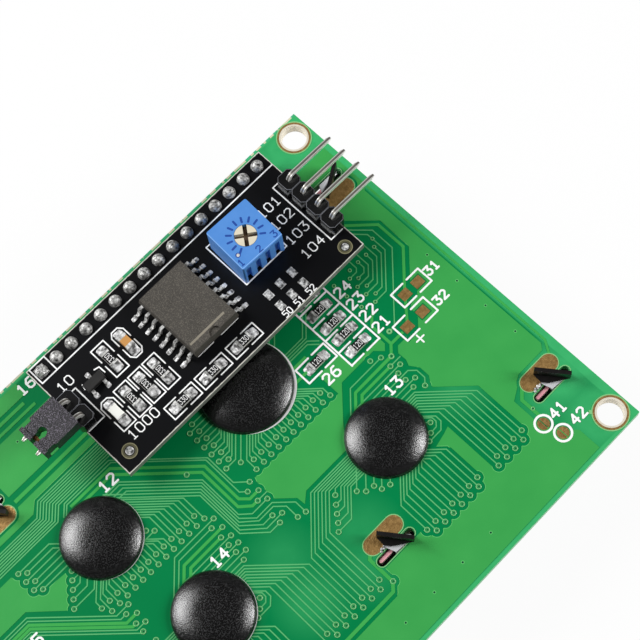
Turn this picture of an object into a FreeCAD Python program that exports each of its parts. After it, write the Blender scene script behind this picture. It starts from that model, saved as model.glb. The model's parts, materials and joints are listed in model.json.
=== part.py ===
import FreeCAD, Part
import math
import os

V = FreeCAD.Vector
UP = V(0, 0, 1)

# Character display module, 20 x 4, lying on its bezel with the back of the board up.
# Origin: centre of the bezel's front face. X along the board, Y towards the header, Z up.
# Millimetres throughout.

# main board
BOARD_LENGTH = 98.0
BOARD_WIDTH = 60.0
BOARD_THICKNESS = 1.6
HOLE_INSET = 2.5
HOLE_DIAMETER = 3.5

# bezel, one folded sheet
BEZEL_LENGTH = 97.0
BEZEL_WIDTH = 40.5
BEZEL_DEPTH = 9.0
SHEET = 0.5
BEZEL_CORNER_RADIUS = 1.2
BEZEL_EDGE_RADIUS = 0.4
WINDOW_END_MARGIN = 10.0
WINDOW_SIDE_MARGIN = 7.0
WINDOW_CORNER_RADIUS = 1.0

# locking tabs of the bezel and their slots in the board
TAB_END_MARGIN = 4.2
TAB_INNER_X = 16.0
TAB_NECK_WIDTH = 2.2
TAB_NECK_SHIFT = 0.7
TAB_HEAD_WIDTH = 4.6
TAB_HEIGHT = 2.35
TAB_FLARE_HEIGHT = 0.8
TAB_LEAN = 0.9
TAB_TWIST = -53.0
TAB_TWIST_UPPER_RIGHT = 32.0
SLOT_LENGTH = 6.1
SLOT_CLEARANCE = 0.37
SLOT_END_FLATS = 6

# display cell, from the window to the back
CELL_END_CLEARANCE = 2.0
FRONT_GLASS_CLEARANCE = 0.25
GLASS_LEDGE = 2.8
GLASS_THICKNESS = 1.1
POLARIZER_END_MARGIN = 3.0
POLARIZER_SIDE_MARGIN = 1.5
POLARIZER_THICKNESS = 0.2

# backlight
TRAY_TO_STRIP = 0.6
TRAY_CORNER_RADIUS = 1.0
TRAY_END_WALL = 2.0
TRAY_SIDE_WALL = 1.4
DIFFUSER_THICKNESS = 0.4
GUIDE_THICKNESS = 3.2
LED_BAR_THICKNESS = 2.4
LED_BAR_MARGIN = 2.4
LED_BAR_HEIGHT = 3.0
FILM_CLEARANCE = 0.1
TERMINAL_SPACING = 20.0
TERMINAL_WIDTH = 1.5
TERMINAL_THICKNESS = 0.3
TERMINAL_FOOT = 1.4
TERMINAL_LEG = 3.6

# rubber strips that carry the contacts from the glass to the board
STRIP_END_MARGIN = 2.0
STRIP_WIDTH = 2.2
STRIP_TO_WALL = 0.15

# covers over the driver chips: centre x, centre y, base radius
COVERS = [(17.75, 7.9, 6.25), (-8.0, 7.05, 5.25), (25.15, -9.55, 5.25),
          (-4.9, -9.5, 5.25), (-28.0, -1.5, 5.25)]
# rim of a cover: how far in from its edge, and how high above the board
COVER_RIM = ((0.0, 0.0), (0.1, 0.5), (0.45, 1.0), (1.15, 1.35))
# crown of a cover: how much higher its level top is, and how wide that is as a share of the crown
COVER_CROWN = 0.35
COVER_TOP_SHARE = 0.4
COVER_SIDES = 36

# pin header between the two boards
PIN_PITCH = 2.54
PIN_COUNT = 16
PIN_SIZE = 0.5
PIN_HOLE_DIAMETER = 1.0
PIN_CLEARANCE = 0.02
COVERED_SIDES = 8
FIRST_PIN_INSET = 9.73
HEADER_INSET = 3.25
PLASTIC_WIDTH = 2.5
PLASTIC_HEIGHT = 2.5
PLASTIC_CHAMFER = 0.45
# height and radius of the solder drops, from the board up
SOLDER_PROFILE = ((0.0, 0.85), (0.5, 0.72), (0.8, 0.35))
PIN_IN_SOLDER = 0.5

# backpack board
BACKPACK_LENGTH = 41.2
BACKPACK_WIDTH = 18.9
BACKPACK_THICKNESS = 1.2
BACKPACK_PAST_FIRST_PIN = 1.63
HEADER_TO_BACKPACK_EDGE = 1.35

# the places of all parts on the backpack are given from its centre
# sixteen lead chip
CHIP_PLACE = (-0.97, 0.15)
CHIP_WIDTH = 7.5
CHIP_LENGTH = 10.3
CHIP_STANDOFF = 0.12
CHIP_THICKNESS = 2.25
CHIP_DRAFT = 0.16
CHIP_NOTCH_RADIUS = 0.8
CHIP_NOTCH_DEPTH = 0.25
LEAD_PITCH = 1.27
LEADS_PER_SIDE = 8
LEAD_WIDTH = 0.42
LEAD_THICKNESS = 0.25
LEAD_SPAN = 10.4
LEAD_SHOULDER = 0.55
LEAD_FOOT = 0.75

# contrast trimmer
TRIMMER_PLACE = (10.11, 0.93)
TRIMMER_TURN = -2.3
TRIMMER_LENGTH = 6.7
TRIMMER_WIDTH = 6.9
TRIMMER_HEIGHT = 4.8
TRIMMER_EDGE_RADIUS = 0.25
TRIMMER_LIP = 0.8
TRIMMER_FOOT = 0.4
ROTOR_OFFSET_Y = -0.27
ROTOR_RADIUS = 1.45
ROTOR_HEIGHT = 2.4
ROTOR_CLEARANCE = 0.05
ROTOR_SLOT_WIDTH = 0.55
ROTOR_SLOT_DEPTH = 0.7
ROTOR_SLOT_ANGLE = 55.0
TRIMMER_PIN_DIAMETER = 0.5
TRIMMER_PIN_HOLE = 0.8
TRIMMER_GROOVE_WIDTH = 0.75
TRIMMER_GROOVE_DEPTH = 0.5
TRIMMER_GROOVES = (-2.55, -0.95, 0.65, 2.25)

# bent pin headers at the two ends of the backpack
SIGNAL_PLACE = (19.8, -0.93)
SIGNAL_PINS = 4
SIGNAL_BEND_RADIUS = 0.8
SIGNAL_REACH = 7.6
JUMPER_PLACE = (-19.7, 0.7)
JUMPER_PINS = 2
JUMPER_BEND_RADIUS = 1.15
JUMPER_REACH = -7.23
PIN_DROOP = 2.5
PIN_POINT = 0.5
PIN_POINT_SIZE = 0.28
PIN_TAIL = 0.5

# jumper cap pushed on the two left pins: places along X are from those pins' holes
CAP_START = -0.93
CAP_SHOULDER = -4.8
CAP_END = -6.6
CAP_WIDTH = 4.75
CAP_THICKNESS = 2.2
CAP_EDGE_RADIUS = 0.2
CAP_ARM_WIDTH = 1.6
CAP_FLANGE_WIDTH = 2.0
CAP_FLANGE_LENGTH = 0.6
CAP_NOTCH_WIDTH = 1.3
CAP_NOTCH_START = -4.2
CLIP_SIZE = 1.2
CLIP_CLEARANCE = 0.04
CLIP_LENGTH = 4.4
CLIP_START = 0.8
CLIP_BRIDGE_LENGTH = 0.5
CLIP_BRIDGE_THICKNESS = 0.25

# two terminal parts on pads: length, width, height
CHIP_PART_LENGTH = 2.0
CHIP_PART_WIDTH = 1.25
RESISTOR_HEIGHT = 0.5
CAPACITOR_HEIGHT = 0.85
LED_HEIGHT = 0.8
END_METAL = 0.38
END_STEP = 0.03
BOARD_RESISTORS = [(31.4, 1.3), (31.4, 3.6), (31.4, 5.7), (31.4, 8.1), (31.4, 10.3), (26.2, 3.5)]
# place on the backpack, turned upright or not
BACKPACK_RESISTORS = [(-12.13, 3.05, True), (-13.75, -2.75, True), (-11.3, -2.75, True),
                      (-8.83, -2.75, True), (-9.62, -7.55, False), (-4.37, -7.55, False),
                      (1.05, -7.55, False)]
CAPACITOR_PLACE = (-9.22, 3.05)
POWER_LED_PLACE = (-16.33, -2.7)

# three lead transistor
TRANSISTOR_PLACE = (-15.55, 2.1)
TRANSISTOR_LENGTH = 2.9
TRANSISTOR_WIDTH = 1.35
TRANSISTOR_HEIGHT = 1.0
TRANSISTOR_LEAD_PITCH = 1.95
TRANSISTOR_LEAD_WIDTH = 0.45
TRANSISTOR_LEAD_REACH = 0.6
TRANSISTOR_LEAD_THICKNESS = 0.15

# worked out from the values above: lengths and widths
HOLE_SPACING_X = BOARD_LENGTH - 2 * HOLE_INSET
HOLE_SPACING_Y = BOARD_WIDTH - 2 * HOLE_INSET
WINDOW_LENGTH = BEZEL_LENGTH - 2 * WINDOW_END_MARGIN
WINDOW_WIDTH = BEZEL_WIDTH - 2 * WINDOW_SIDE_MARGIN
TAB_OUTER_X = BEZEL_LENGTH / 2 - TAB_END_MARGIN
WALL_INNER_Y = BEZEL_WIDTH / 2 - SHEET
WALL_MIDDLE_Y = BEZEL_WIDTH / 2 - SHEET / 2
CELL_LENGTH = BEZEL_LENGTH - 2 * SHEET - 2 * CELL_END_CLEARANCE
FRONT_GLASS_WIDTH = 2 * WALL_INNER_Y - 2 * FRONT_GLASS_CLEARANCE
REAR_GLASS_WIDTH = FRONT_GLASS_WIDTH - 2 * GLASS_LEDGE
POLARIZER_LENGTH = CELL_LENGTH - 2 * POLARIZER_END_MARGIN
POLARIZER_WIDTH = REAR_GLASS_WIDTH - 2 * POLARIZER_SIDE_MARGIN
STRIP_LENGTH = CELL_LENGTH - 2 * STRIP_END_MARGIN
STRIP_Y = WALL_INNER_Y - STRIP_TO_WALL - STRIP_WIDTH / 2
TRAY_LENGTH = CELL_LENGTH
TRAY_WIDTH = 2 * (STRIP_Y - STRIP_WIDTH / 2 - TRAY_TO_STRIP)
CAVITY_LENGTH = TRAY_LENGTH - 2 * TRAY_END_WALL
CAVITY_WIDTH = TRAY_WIDTH - 2 * TRAY_SIDE_WALL
LED_BAR_WIDTH = CAVITY_WIDTH - 2 * LED_BAR_MARGIN

# heights
FRONT_GLASS_Z = SHEET + POLARIZER_THICKNESS
REAR_GLASS_Z = FRONT_GLASS_Z + GLASS_THICKNESS
REAR_POLARIZER_Z = REAR_GLASS_Z + GLASS_THICKNESS
DIFFUSER_Z = REAR_POLARIZER_Z + POLARIZER_THICKNESS
GUIDE_Z = DIFFUSER_Z + DIFFUSER_THICKNESS
TRAY_FLOOR_Z = GUIDE_Z + GUIDE_THICKNESS
BOARD_TOP = BEZEL_DEPTH + BOARD_THICKNESS
BACKPACK_UNDER = BOARD_TOP + PLASTIC_HEIGHT
BACKPACK_TOP = BACKPACK_UNDER + BACKPACK_THICKNESS
JUMPER_RUN_Z = BACKPACK_TOP + PLASTIC_HEIGHT + JUMPER_BEND_RADIUS

# places
FIRST_PIN_X = BOARD_LENGTH / 2 - FIRST_PIN_INSET
HEADER_Y = BOARD_WIDTH / 2 - HEADER_INSET
BACKPACK_X = FIRST_PIN_X + BACKPACK_PAST_FIRST_PIN - BACKPACK_LENGTH / 2
BACKPACK_Y = HEADER_Y + HEADER_TO_BACKPACK_EDGE - BACKPACK_WIDTH / 2


def on_backpack(place):
    """A place given from the backpack's centre, in the module's axes."""
    return BACKPACK_X + place[0], BACKPACK_Y + place[1]


CHIP_X, CHIP_Y = on_backpack(CHIP_PLACE)
TRIMMER_X, TRIMMER_Y = on_backpack(TRIMMER_PLACE)
SIGNAL_X, SIGNAL_Y = on_backpack(SIGNAL_PLACE)
JUMPER_X, JUMPER_Y = on_backpack(JUMPER_PLACE)


def block(length, width, height, x=0.0, y=0.0, z=0.0):
    """A box centred on x and y, standing on z."""
    return Part.makeBox(length, width, height, V(x - length / 2, y - width / 2, z))


def upright_edges(shape):
    """The straight edges of a shape that run along Z."""
    edges = []
    for edge in shape.Edges:
        if len(edge.Vertexes) == 2:
            run = edge.Vertexes[1].Point - edge.Vertexes[0].Point
            if abs(run.x) + abs(run.y) < 1e-6:
                edges.append(edge)
    return edges


def rounded_block(length, width, height, radius, x=0.0, y=0.0, z=0.0):
    """A box with its four upright edges rounded."""
    solid = block(length, width, height, x, y, z)
    return solid.makeFillet(radius, upright_edges(solid))


def edges_at_height(shape, z):
    """The edges of a shape that lie at one height."""
    return [e for e in shape.Edges if abs(e.BoundBox.ZMin - z) < 1e-6 and abs(e.BoundBox.ZMax - z) < 1e-6]


def corners_of(length, width, z, x=0.0, y=0.0, turn=0.0):
    """The four corners of a rectangle at height z, turned about its own centre."""
    angle = math.radians(turn)
    corners = []
    for sx, sy in ((-1, -1), (1, -1), (1, 1), (-1, 1)):
        dx = sx * length / 2
        dy = sy * width / 2
        corners.append(V(x + dx * math.cos(angle) - dy * math.sin(angle),
                         y + dx * math.sin(angle) + dy * math.cos(angle), z))
    return corners


def rectangle(length, width, z, x=0.0, y=0.0):
    """A closed rectangle at height z."""
    corners = corners_of(length, width, z, x, y)
    return Part.makePolygon(corners + corners[:1])


def prism(points, direction):
    """A solid swept straight from a flat outline."""
    return Part.Face(Part.makePolygon(points + points[:1])).extrude(direction)


def ring(x, y, z, radius, sides):
    """Corners of a regular polygon at height z, the first one on the +X side."""
    turns = [2 * math.pi * i / sides for i in range(sides)]
    return [V(x + radius * math.cos(a), y + radius * math.sin(a), z) for a in turns]


def stacked(rings):
    """A solid through rings of equally many corners, with two triangles for each side between them."""
    faces = [Part.Face(Part.makePolygon(end + end[:1])) for end in (rings[0], rings[-1])]
    for low, high in zip(rings, rings[1:]):
        for i, near in enumerate(low):
            far = (i + 1) % len(low)
            for corners in ((near, low[far], high[far]), (near, high[far], high[i])):
                faces.append(Part.Face(Part.makePolygon(list(corners) + [near])))
    solid = Part.makeSolid(Part.makeShell(faces))
    if solid.Volume < 0:
        solid.reverse()
    return solid


def fuse_all(shapes):
    """One solid out of several that overlap."""
    return shapes[0].multiFuse(shapes[1:]).removeSplitter()


def tab_places():
    """Slot centre x, side of the board and twist of each of the eight tabs."""
    places = []
    for side in (-1, 1):
        for x in (-TAB_OUTER_X, -TAB_INNER_X, TAB_INNER_X, TAB_OUTER_X):
            twist = TAB_TWIST_UPPER_RIGHT if (side > 0 and x == TAB_OUTER_X) else TAB_TWIST
            places.append((x, side, twist))
    return places


def header_places():
    """Centres of the sixteen pins that join the two boards."""
    return [(FIRST_PIN_X - PIN_PITCH * i, HEADER_Y) for i in range(PIN_COUNT)]


def row_places(x, y, count):
    """Centres of a short header's pins, in a row along Y."""
    return [(x, y + PIN_PITCH * ((count - 1) / 2 - i)) for i in range(count)]


def trimmer_point(dx, dy):
    """A point given in the trimmer's own axes, in the module's axes."""
    angle = math.radians(TRIMMER_TURN)
    return (TRIMMER_X + dx * math.cos(angle) - dy * math.sin(angle),
            TRIMMER_Y + dx * math.sin(angle) + dy * math.cos(angle))


def trimmer_pin_places():
    """The trimmer's three pins, two at the back and one in front."""
    return [trimmer_point(dx, dy) for dx, dy in
            ((-PIN_PITCH, PIN_PITCH / 2), (0.0, -PIN_PITCH / 2), (PIN_PITCH, PIN_PITCH / 2))]


def round_holes(places, diameter, z, depth):
    """Plain drills at the given centres."""
    return [Part.makeCylinder(diameter / 2, depth, V(x, y, z)) for x, y in places]


def covered_holes(places, diameter, z, depth):
    """Drills that pins and solder fill: eight flats stand for the round wall that nothing shows."""
    return [prism(ring(x, y, z, diameter / 2, COVERED_SIDES), V(0, 0, depth)) for x, y in places]


def round_ended_slot(x, y, length, width, z, depth):
    """A slot along X whose half round ends are made in flats."""
    reach = (length - width) / 2
    points = []
    for side, first in ((1, -90), (-1, 90)):
        for i in range(SLOT_END_FLATS + 1):
            angle = math.radians(first + 180 * i / SLOT_END_FLATS)
            points.append(V(x + side * reach + width / 2 * math.cos(angle), y + width / 2 * math.sin(angle), z))
    return prism(points, V(0, 0, depth))


def main_board():
    """Board with its four fixing holes, the header's holes and the slots for the tabs."""
    board = block(BOARD_LENGTH, BOARD_WIDTH, BOARD_THICKNESS, z=BEZEL_DEPTH)
    corners = [(sx * HOLE_SPACING_X / 2, sy * HOLE_SPACING_Y / 2) for sx in (-1, 1) for sy in (-1, 1)]
    cuts = round_holes(corners, HOLE_DIAMETER, BEZEL_DEPTH, BOARD_THICKNESS)
    cuts += covered_holes(header_places(), PIN_HOLE_DIAMETER, BEZEL_DEPTH, BOARD_THICKNESS)
    for x, side, twist in tab_places():
        y = side * (WALL_MIDDLE_Y - SLOT_CLEARANCE / 2)
        cuts.append(round_ended_slot(x, y, SLOT_LENGTH, SHEET + 2 * SLOT_CLEARANCE, BEZEL_DEPTH, BOARD_THICKNESS))
    return board.cut(cuts)


def locking_tab(x, side, twist):
    """Neck through the slot, then a wider head that is twisted and leans inwards."""
    neck_x = x + TAB_NECK_SHIFT
    root_z = BEZEL_DEPTH - SHEET * 2
    neck = block(TAB_NECK_WIDTH, SHEET, BOARD_TOP - root_z, neck_x, side * WALL_MIDDLE_Y, root_z)
    middle_width = (TAB_NECK_WIDTH + TAB_HEAD_WIDTH) / 2
    sections = [(0.0, TAB_NECK_WIDTH, 0.0, 0.0),
                (TAB_FLARE_HEIGHT / 2, middle_width, twist / 2, TAB_LEAN / 2),
                (TAB_FLARE_HEIGHT, TAB_HEAD_WIDTH, twist, TAB_LEAN),
                (TAB_HEIGHT, TAB_HEAD_WIDTH, twist, TAB_LEAN)]
    rings = [corners_of(width, SHEET, BOARD_TOP + height, neck_x, side * (WALL_MIDDLE_Y - lean), turn)
             for height, width, turn, lean in sections]
    return neck.fuse(stacked(rings))


def bezel():
    """Folded sheet: a shallow tray with the window in its floor and eight tabs on its long walls."""
    outer = rounded_block(BEZEL_LENGTH, BEZEL_WIDTH, BEZEL_DEPTH, BEZEL_CORNER_RADIUS)
    outer = outer.makeFillet(BEZEL_EDGE_RADIUS, edges_at_height(outer, 0.0))
    inner = rounded_block(BEZEL_LENGTH - 2 * SHEET, BEZEL_WIDTH - 2 * SHEET, BEZEL_DEPTH,
                          BEZEL_CORNER_RADIUS - SHEET, z=SHEET)
    window = rounded_block(WINDOW_LENGTH, WINDOW_WIDTH, 3 * SHEET, WINDOW_CORNER_RADIUS, z=-SHEET)
    tray = outer.cut([inner, window])
    return fuse_all([tray] + [locking_tab(*place) for place in tab_places()])


def backlight_tray():
    """White housing, open towards the cell, that holds the light guide and lies against the board."""
    outer = rounded_block(TRAY_LENGTH, TRAY_WIDTH, BEZEL_DEPTH - REAR_POLARIZER_Z, TRAY_CORNER_RADIUS,
                          z=REAR_POLARIZER_Z)
    cavity = block(CAVITY_LENGTH, CAVITY_WIDTH, TRAY_FLOOR_Z - REAR_POLARIZER_Z, z=REAR_POLARIZER_Z)
    return outer.cut(cavity)


def film(thickness, z):
    """A flat layer that fills the tray's opening."""
    return block(CAVITY_LENGTH - 2 * FILM_CLEARANCE, CAVITY_WIDTH - 2 * FILM_CLEARANCE, thickness, z=z)


def light_guide():
    """Clear plate behind the diffuser, from the left wall of the tray to the light bar."""
    length = CAVITY_LENGTH - LED_BAR_THICKNESS - 2 * FILM_CLEARANCE
    return block(length, CAVITY_WIDTH - 2 * FILM_CLEARANCE, GUIDE_THICKNESS,
                 x=-LED_BAR_THICKNESS / 2, z=GUIDE_Z)


def backlight_leds():
    """Bar of lamps on the tray's right wall, shining into the guide's edge."""
    return block(LED_BAR_THICKNESS, LED_BAR_WIDTH, LED_BAR_HEIGHT,
                 x=CAVITY_LENGTH / 2 - LED_BAR_THICKNESS / 2, z=TRAY_FLOOR_Z - LED_BAR_HEIGHT)


def backlight_terminals():
    """Two bent tin strips from the tray's end wall to the underside of the board."""
    end_x = TRAY_LENGTH / 2
    top = BEZEL_DEPTH
    strips = []
    for side in (-1, 1):
        y = side * TERMINAL_SPACING / 2 - TERMINAL_WIDTH / 2
        outline = [V(end_x, y, top - TERMINAL_LEG), V(end_x + TERMINAL_THICKNESS, y, top - TERMINAL_LEG),
                   V(end_x + TERMINAL_THICKNESS, y, top - TERMINAL_THICKNESS),
                   V(end_x + TERMINAL_FOOT, y, top - TERMINAL_THICKNESS),
                   V(end_x + TERMINAL_FOOT, y, top), V(end_x, y, top)]
        strips.append(prism(outline, V(0, TERMINAL_WIDTH, 0)))
    return Part.makeCompound(strips)


def contact_strip(side):
    """Rubber strip between the glass ledge and the board."""
    return block(STRIP_LENGTH, STRIP_WIDTH, BEZEL_DEPTH - REAR_GLASS_Z, y=side * STRIP_Y, z=REAR_GLASS_Z)


def chip_cover(x, y, radius):
    """Drop of black resin, round in flats: a rounded rim, then a crown that rises to its level top."""
    rim_inset, rim_height = COVER_RIM[-1]
    profile = [(radius - inset, height) for inset, height in COVER_RIM]
    profile.append(((radius - rim_inset) * COVER_TOP_SHARE, rim_height + COVER_CROWN))
    return stacked([ring(x, y, BOARD_TOP + height, reach, COVER_SIDES) for reach, height in profile])


def header_plastic(x, y, z, count, along_x):
    """Black header body, one eight sided cell for each pin, with a notch between cells."""
    half = PLASTIC_WIDTH / 2
    start = -count * PIN_PITCH / 2
    near = []
    far = []
    for i in range(count):
        left = start + i * PIN_PITCH
        right = left + PIN_PITCH
        near += [(left, -half + PLASTIC_CHAMFER), (left + PLASTIC_CHAMFER, -half),
                 (right - PLASTIC_CHAMFER, -half)]
        far += [(left, half - PLASTIC_CHAMFER), (left + PLASTIC_CHAMFER, half),
                (right - PLASTIC_CHAMFER, half)]
    end = start + count * PIN_PITCH
    outline = near + [(end, -half + PLASTIC_CHAMFER), (end, half - PLASTIC_CHAMFER)] + far[::-1]
    if along_x:
        points = [V(x + a, y + b, z) for a, b in outline]
    else:
        points = [V(x - b, y + a, z) for a, b in outline]
    return prism(points, V(0, 0, PLASTIC_HEIGHT))


def header_strip():
    """Sixteen cell spacer between the boards, with a square hole for each pin."""
    places = header_places()
    middle_x = (places[0][0] + places[-1][0]) / 2
    plastic = header_plastic(middle_x, HEADER_Y, BOARD_TOP, PIN_COUNT, True)
    hole = PIN_SIZE + 2 * PIN_CLEARANCE
    return plastic.cut([block(hole, hole, PLASTIC_HEIGHT, x, y, BOARD_TOP) for x, y in places])


def header_pins():
    """Square pins through both boards, ending in the solder on each side."""
    low = BEZEL_DEPTH - PIN_IN_SOLDER
    high = BACKPACK_TOP + PIN_IN_SOLDER
    return Part.makeCompound([block(PIN_SIZE, PIN_SIZE, high - low, x, y, low) for x, y in header_places()])


def solder_drop(x, y, z, reach, direction):
    """Drop of solder, in eight flats, over a pin that reaches into it, on a face at height z."""
    rings = [ring(x, y, z + direction * height, radius, COVERED_SIDES) for height, radius in SOLDER_PROFILE]
    pin_z = z if direction > 0 else z - reach
    return stacked(rings).cut(block(PIN_SIZE, PIN_SIZE, reach, x, y, pin_z))


def solder_row(places, z, reach, direction):
    """Solder drops on a row of pins."""
    return Part.makeCompound([solder_drop(x, y, z, reach, direction) for x, y in places])


def backpack_board():
    """Small board on the header, drilled for its pins, the trimmer and the bent headers."""
    board = block(BACKPACK_LENGTH, BACKPACK_WIDTH, BACKPACK_THICKNESS, BACKPACK_X, BACKPACK_Y, BACKPACK_UNDER)
    pins = header_places() + row_places(SIGNAL_X, SIGNAL_Y, SIGNAL_PINS)
    pins += row_places(JUMPER_X, JUMPER_Y, JUMPER_PINS)
    cuts = covered_holes(pins, PIN_HOLE_DIAMETER, BACKPACK_UNDER, BACKPACK_THICKNESS)
    cuts += covered_holes(trimmer_pin_places(), TRIMMER_PIN_HOLE, BACKPACK_UNDER, BACKPACK_THICKNESS)
    return board.cut(cuts)


def controller_chip():
    """Moulded chip body with drafted sides and a half round mark at its first end."""
    bottom = BACKPACK_TOP + CHIP_STANDOFF
    top = bottom + CHIP_THICKNESS
    wires = []
    for z, inset in ((bottom, CHIP_DRAFT), ((bottom + top) / 2, 0.0), (top, CHIP_DRAFT)):
        wires.append(rectangle(CHIP_WIDTH - 2 * inset, CHIP_LENGTH - 2 * inset, z, CHIP_X, CHIP_Y))
    body = Part.makeLoft(wires, True, True)
    notch = Part.makeCylinder(CHIP_NOTCH_RADIUS, CHIP_NOTCH_DEPTH,
                              V(CHIP_X, CHIP_Y - CHIP_LENGTH / 2 + CHIP_DRAFT, top - CHIP_NOTCH_DEPTH))
    return body.cut(notch)


def controller_leads():
    """Sixteen gull wing leads, bent down from the middle of the body to the board."""
    middle = CHIP_STANDOFF + CHIP_THICKNESS / 2
    half_sheet = LEAD_THICKNESS / 2
    root = CHIP_WIDTH / 2
    shoulder = root + LEAD_SHOULDER
    toe = LEAD_SPAN / 2
    heel = toe - LEAD_FOOT
    outline = [(root, middle + half_sheet), (shoulder, middle + half_sheet),
               (heel + LEAD_THICKNESS, LEAD_THICKNESS), (toe, LEAD_THICKNESS), (toe, 0.0), (heel, 0.0),
               (shoulder - LEAD_THICKNESS, middle - half_sheet), (root, middle - half_sheet)]
    leads = []
    for side in (-1, 1):
        for i in range(LEADS_PER_SIDE):
            y = CHIP_Y + LEAD_PITCH * (i - (LEADS_PER_SIDE - 1) / 2) - LEAD_WIDTH / 2
            points = [V(CHIP_X + side * a, y, BACKPACK_TOP + b) for a, b in outline]
            leads.append(prism(points, V(0, LEAD_WIDTH, 0)))
    return Part.makeCompound(leads)


def in_trimmer_axes(shape):
    """Turns a shape made about the origin into the trimmer's place."""
    shape.rotate(V(0, 0, 0), UP, TRIMMER_TURN)
    shape.translate(V(TRIMMER_X, TRIMMER_Y, BACKPACK_TOP))
    return shape


def trimmer_body():
    """Blue housing: a lip round the top, grooves down its front, feet below and the rotor's well."""
    body = block(TRIMMER_LENGTH, TRIMMER_WIDTH, TRIMMER_HEIGHT)
    body = body.makeFillet(TRIMMER_EDGE_RADIUS, upright_edges(body))
    well_depth = ROTOR_HEIGHT + ROTOR_CLEARANCE
    cuts = [Part.makeCylinder(ROTOR_RADIUS + ROTOR_CLEARANCE, well_depth,
                              V(0, ROTOR_OFFSET_Y, TRIMMER_HEIGHT - well_depth))]
    groove_height = TRIMMER_HEIGHT - TRIMMER_LIP
    for x in TRIMMER_GROOVES:
        cuts.append(block(TRIMMER_GROOVE_WIDTH, 2 * TRIMMER_GROOVE_DEPTH, groove_height,
                          x, -TRIMMER_WIDTH / 2))
    cuts.append(block(TRIMMER_LENGTH - 2 * TRIMMER_FOOT, TRIMMER_WIDTH, TRIMMER_FOOT))
    return in_trimmer_axes(body.cut(cuts))


def trimmer_rotor():
    """Round drive with a cross slot, a running fit in the well."""
    rotor = Part.makeCylinder(ROTOR_RADIUS, ROTOR_HEIGHT, V(0, ROTOR_OFFSET_Y, TRIMMER_HEIGHT - ROTOR_HEIGHT))
    slots = []
    for quarter in (0.0, 90.0):
        slot = block(4 * ROTOR_RADIUS, ROTOR_SLOT_WIDTH, ROTOR_SLOT_DEPTH,
                     z=TRIMMER_HEIGHT - ROTOR_SLOT_DEPTH)
        slot.rotate(V(0, 0, 0), UP, ROTOR_SLOT_ANGLE + quarter)
        slot.translate(V(0, ROTOR_OFFSET_Y, 0))
        slots.append(slot)
    return in_trimmer_axes(rotor.cut(slots))


def trimmer_pins():
    """Three round pins from the housing through the backpack board."""
    length = BACKPACK_THICKNESS + PIN_TAIL + TRIMMER_FOOT
    low = BACKPACK_TOP + TRIMMER_FOOT - length
    pins = [prism(ring(x, y, low, TRIMMER_PIN_DIAMETER / 2, COVERED_SIDES), V(0, 0, length))
            for x, y in trimmer_pin_places()]
    return Part.makeCompound(pins)


def bent_pin(x, y, bend_radius, reach):
    """Square pin: up through board and plastic, a bend, then an almost level run to a pointed tip."""
    side = 1 if reach > 0 else -1
    droop = math.radians(PIN_DROOP)
    low = V(x, y, BACKPACK_UNDER - PIN_TAIL)
    bend_z = BACKPACK_TOP + PLASTIC_HEIGHT
    centre = V(x + side * bend_radius, y, bend_z)
    bend_start = V(x, y, bend_z)
    half_turn = math.pi / 4 + droop / 2
    bend_middle = centre + V(-side * bend_radius * math.cos(half_turn), 0, bend_radius * math.sin(half_turn))
    bend_end = centre + V(side * bend_radius * math.sin(droop), 0, bend_radius * math.cos(droop))
    run = abs(x + reach - bend_end.x) / math.cos(droop)
    heading = V(side * math.cos(droop), 0, -math.sin(droop))
    neck = bend_end + heading * (run - PIN_POINT)
    path = Part.Wire([Part.LineSegment(low, bend_start).toShape(),
                      Part.Arc(bend_start, bend_middle, bend_end).toShape(),
                      Part.LineSegment(bend_end, neck).toShape()])
    pin = path.makePipeShell([rectangle(PIN_SIZE, PIN_SIZE, low.z, x, y)], True, False)
    across = V(0, 1, 0)
    over = heading.cross(across)
    ends = []
    for at, size in ((neck, PIN_SIZE), (neck + heading * PIN_POINT, PIN_POINT_SIZE)):
        corners = [at + across * (a * size / 2) + over * (b * size / 2)
                   for a, b in ((-1, -1), (1, -1), (1, 1), (-1, 1))]
        ends.append(Part.makePolygon(corners + corners[:1]))
    return pin.fuse(Part.makeLoft(ends, True, True)).removeSplitter()


def bent_header_block(x, y, count):
    """Plastic cells of a short header on the backpack, with a square hole for each pin."""
    plastic = header_plastic(x, y, BACKPACK_TOP, count, False)
    hole = PIN_SIZE + 2 * PIN_CLEARANCE
    return plastic.cut([block(hole, hole, PLASTIC_HEIGHT, px, py, BACKPACK_TOP)
                        for px, py in row_places(x, y, count)])


def bent_header_pins(x, y, count, bend_radius, reach):
    """The bent pins of one short header."""
    return Part.makeCompound([bent_pin(px, py, bend_radius, reach) for px, py in row_places(x, y, count)])


def droop_with_pins(shape):
    """Takes a level shape made about the pins' run, with X from their holes, to its place along them."""
    shape.rotate(V(-JUMPER_BEND_RADIUS, 0, 0), V(0, 1, 0), -PIN_DROOP)
    shape.translate(V(JUMPER_X, JUMPER_Y, JUMPER_RUN_Z))
    return shape


def between(start, end, width, height, y=0.0, z=0.0):
    """A box from one X to another, centred on y, standing on z."""
    return block(abs(end - start), width, height, (start + end) / 2, y, z)


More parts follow.
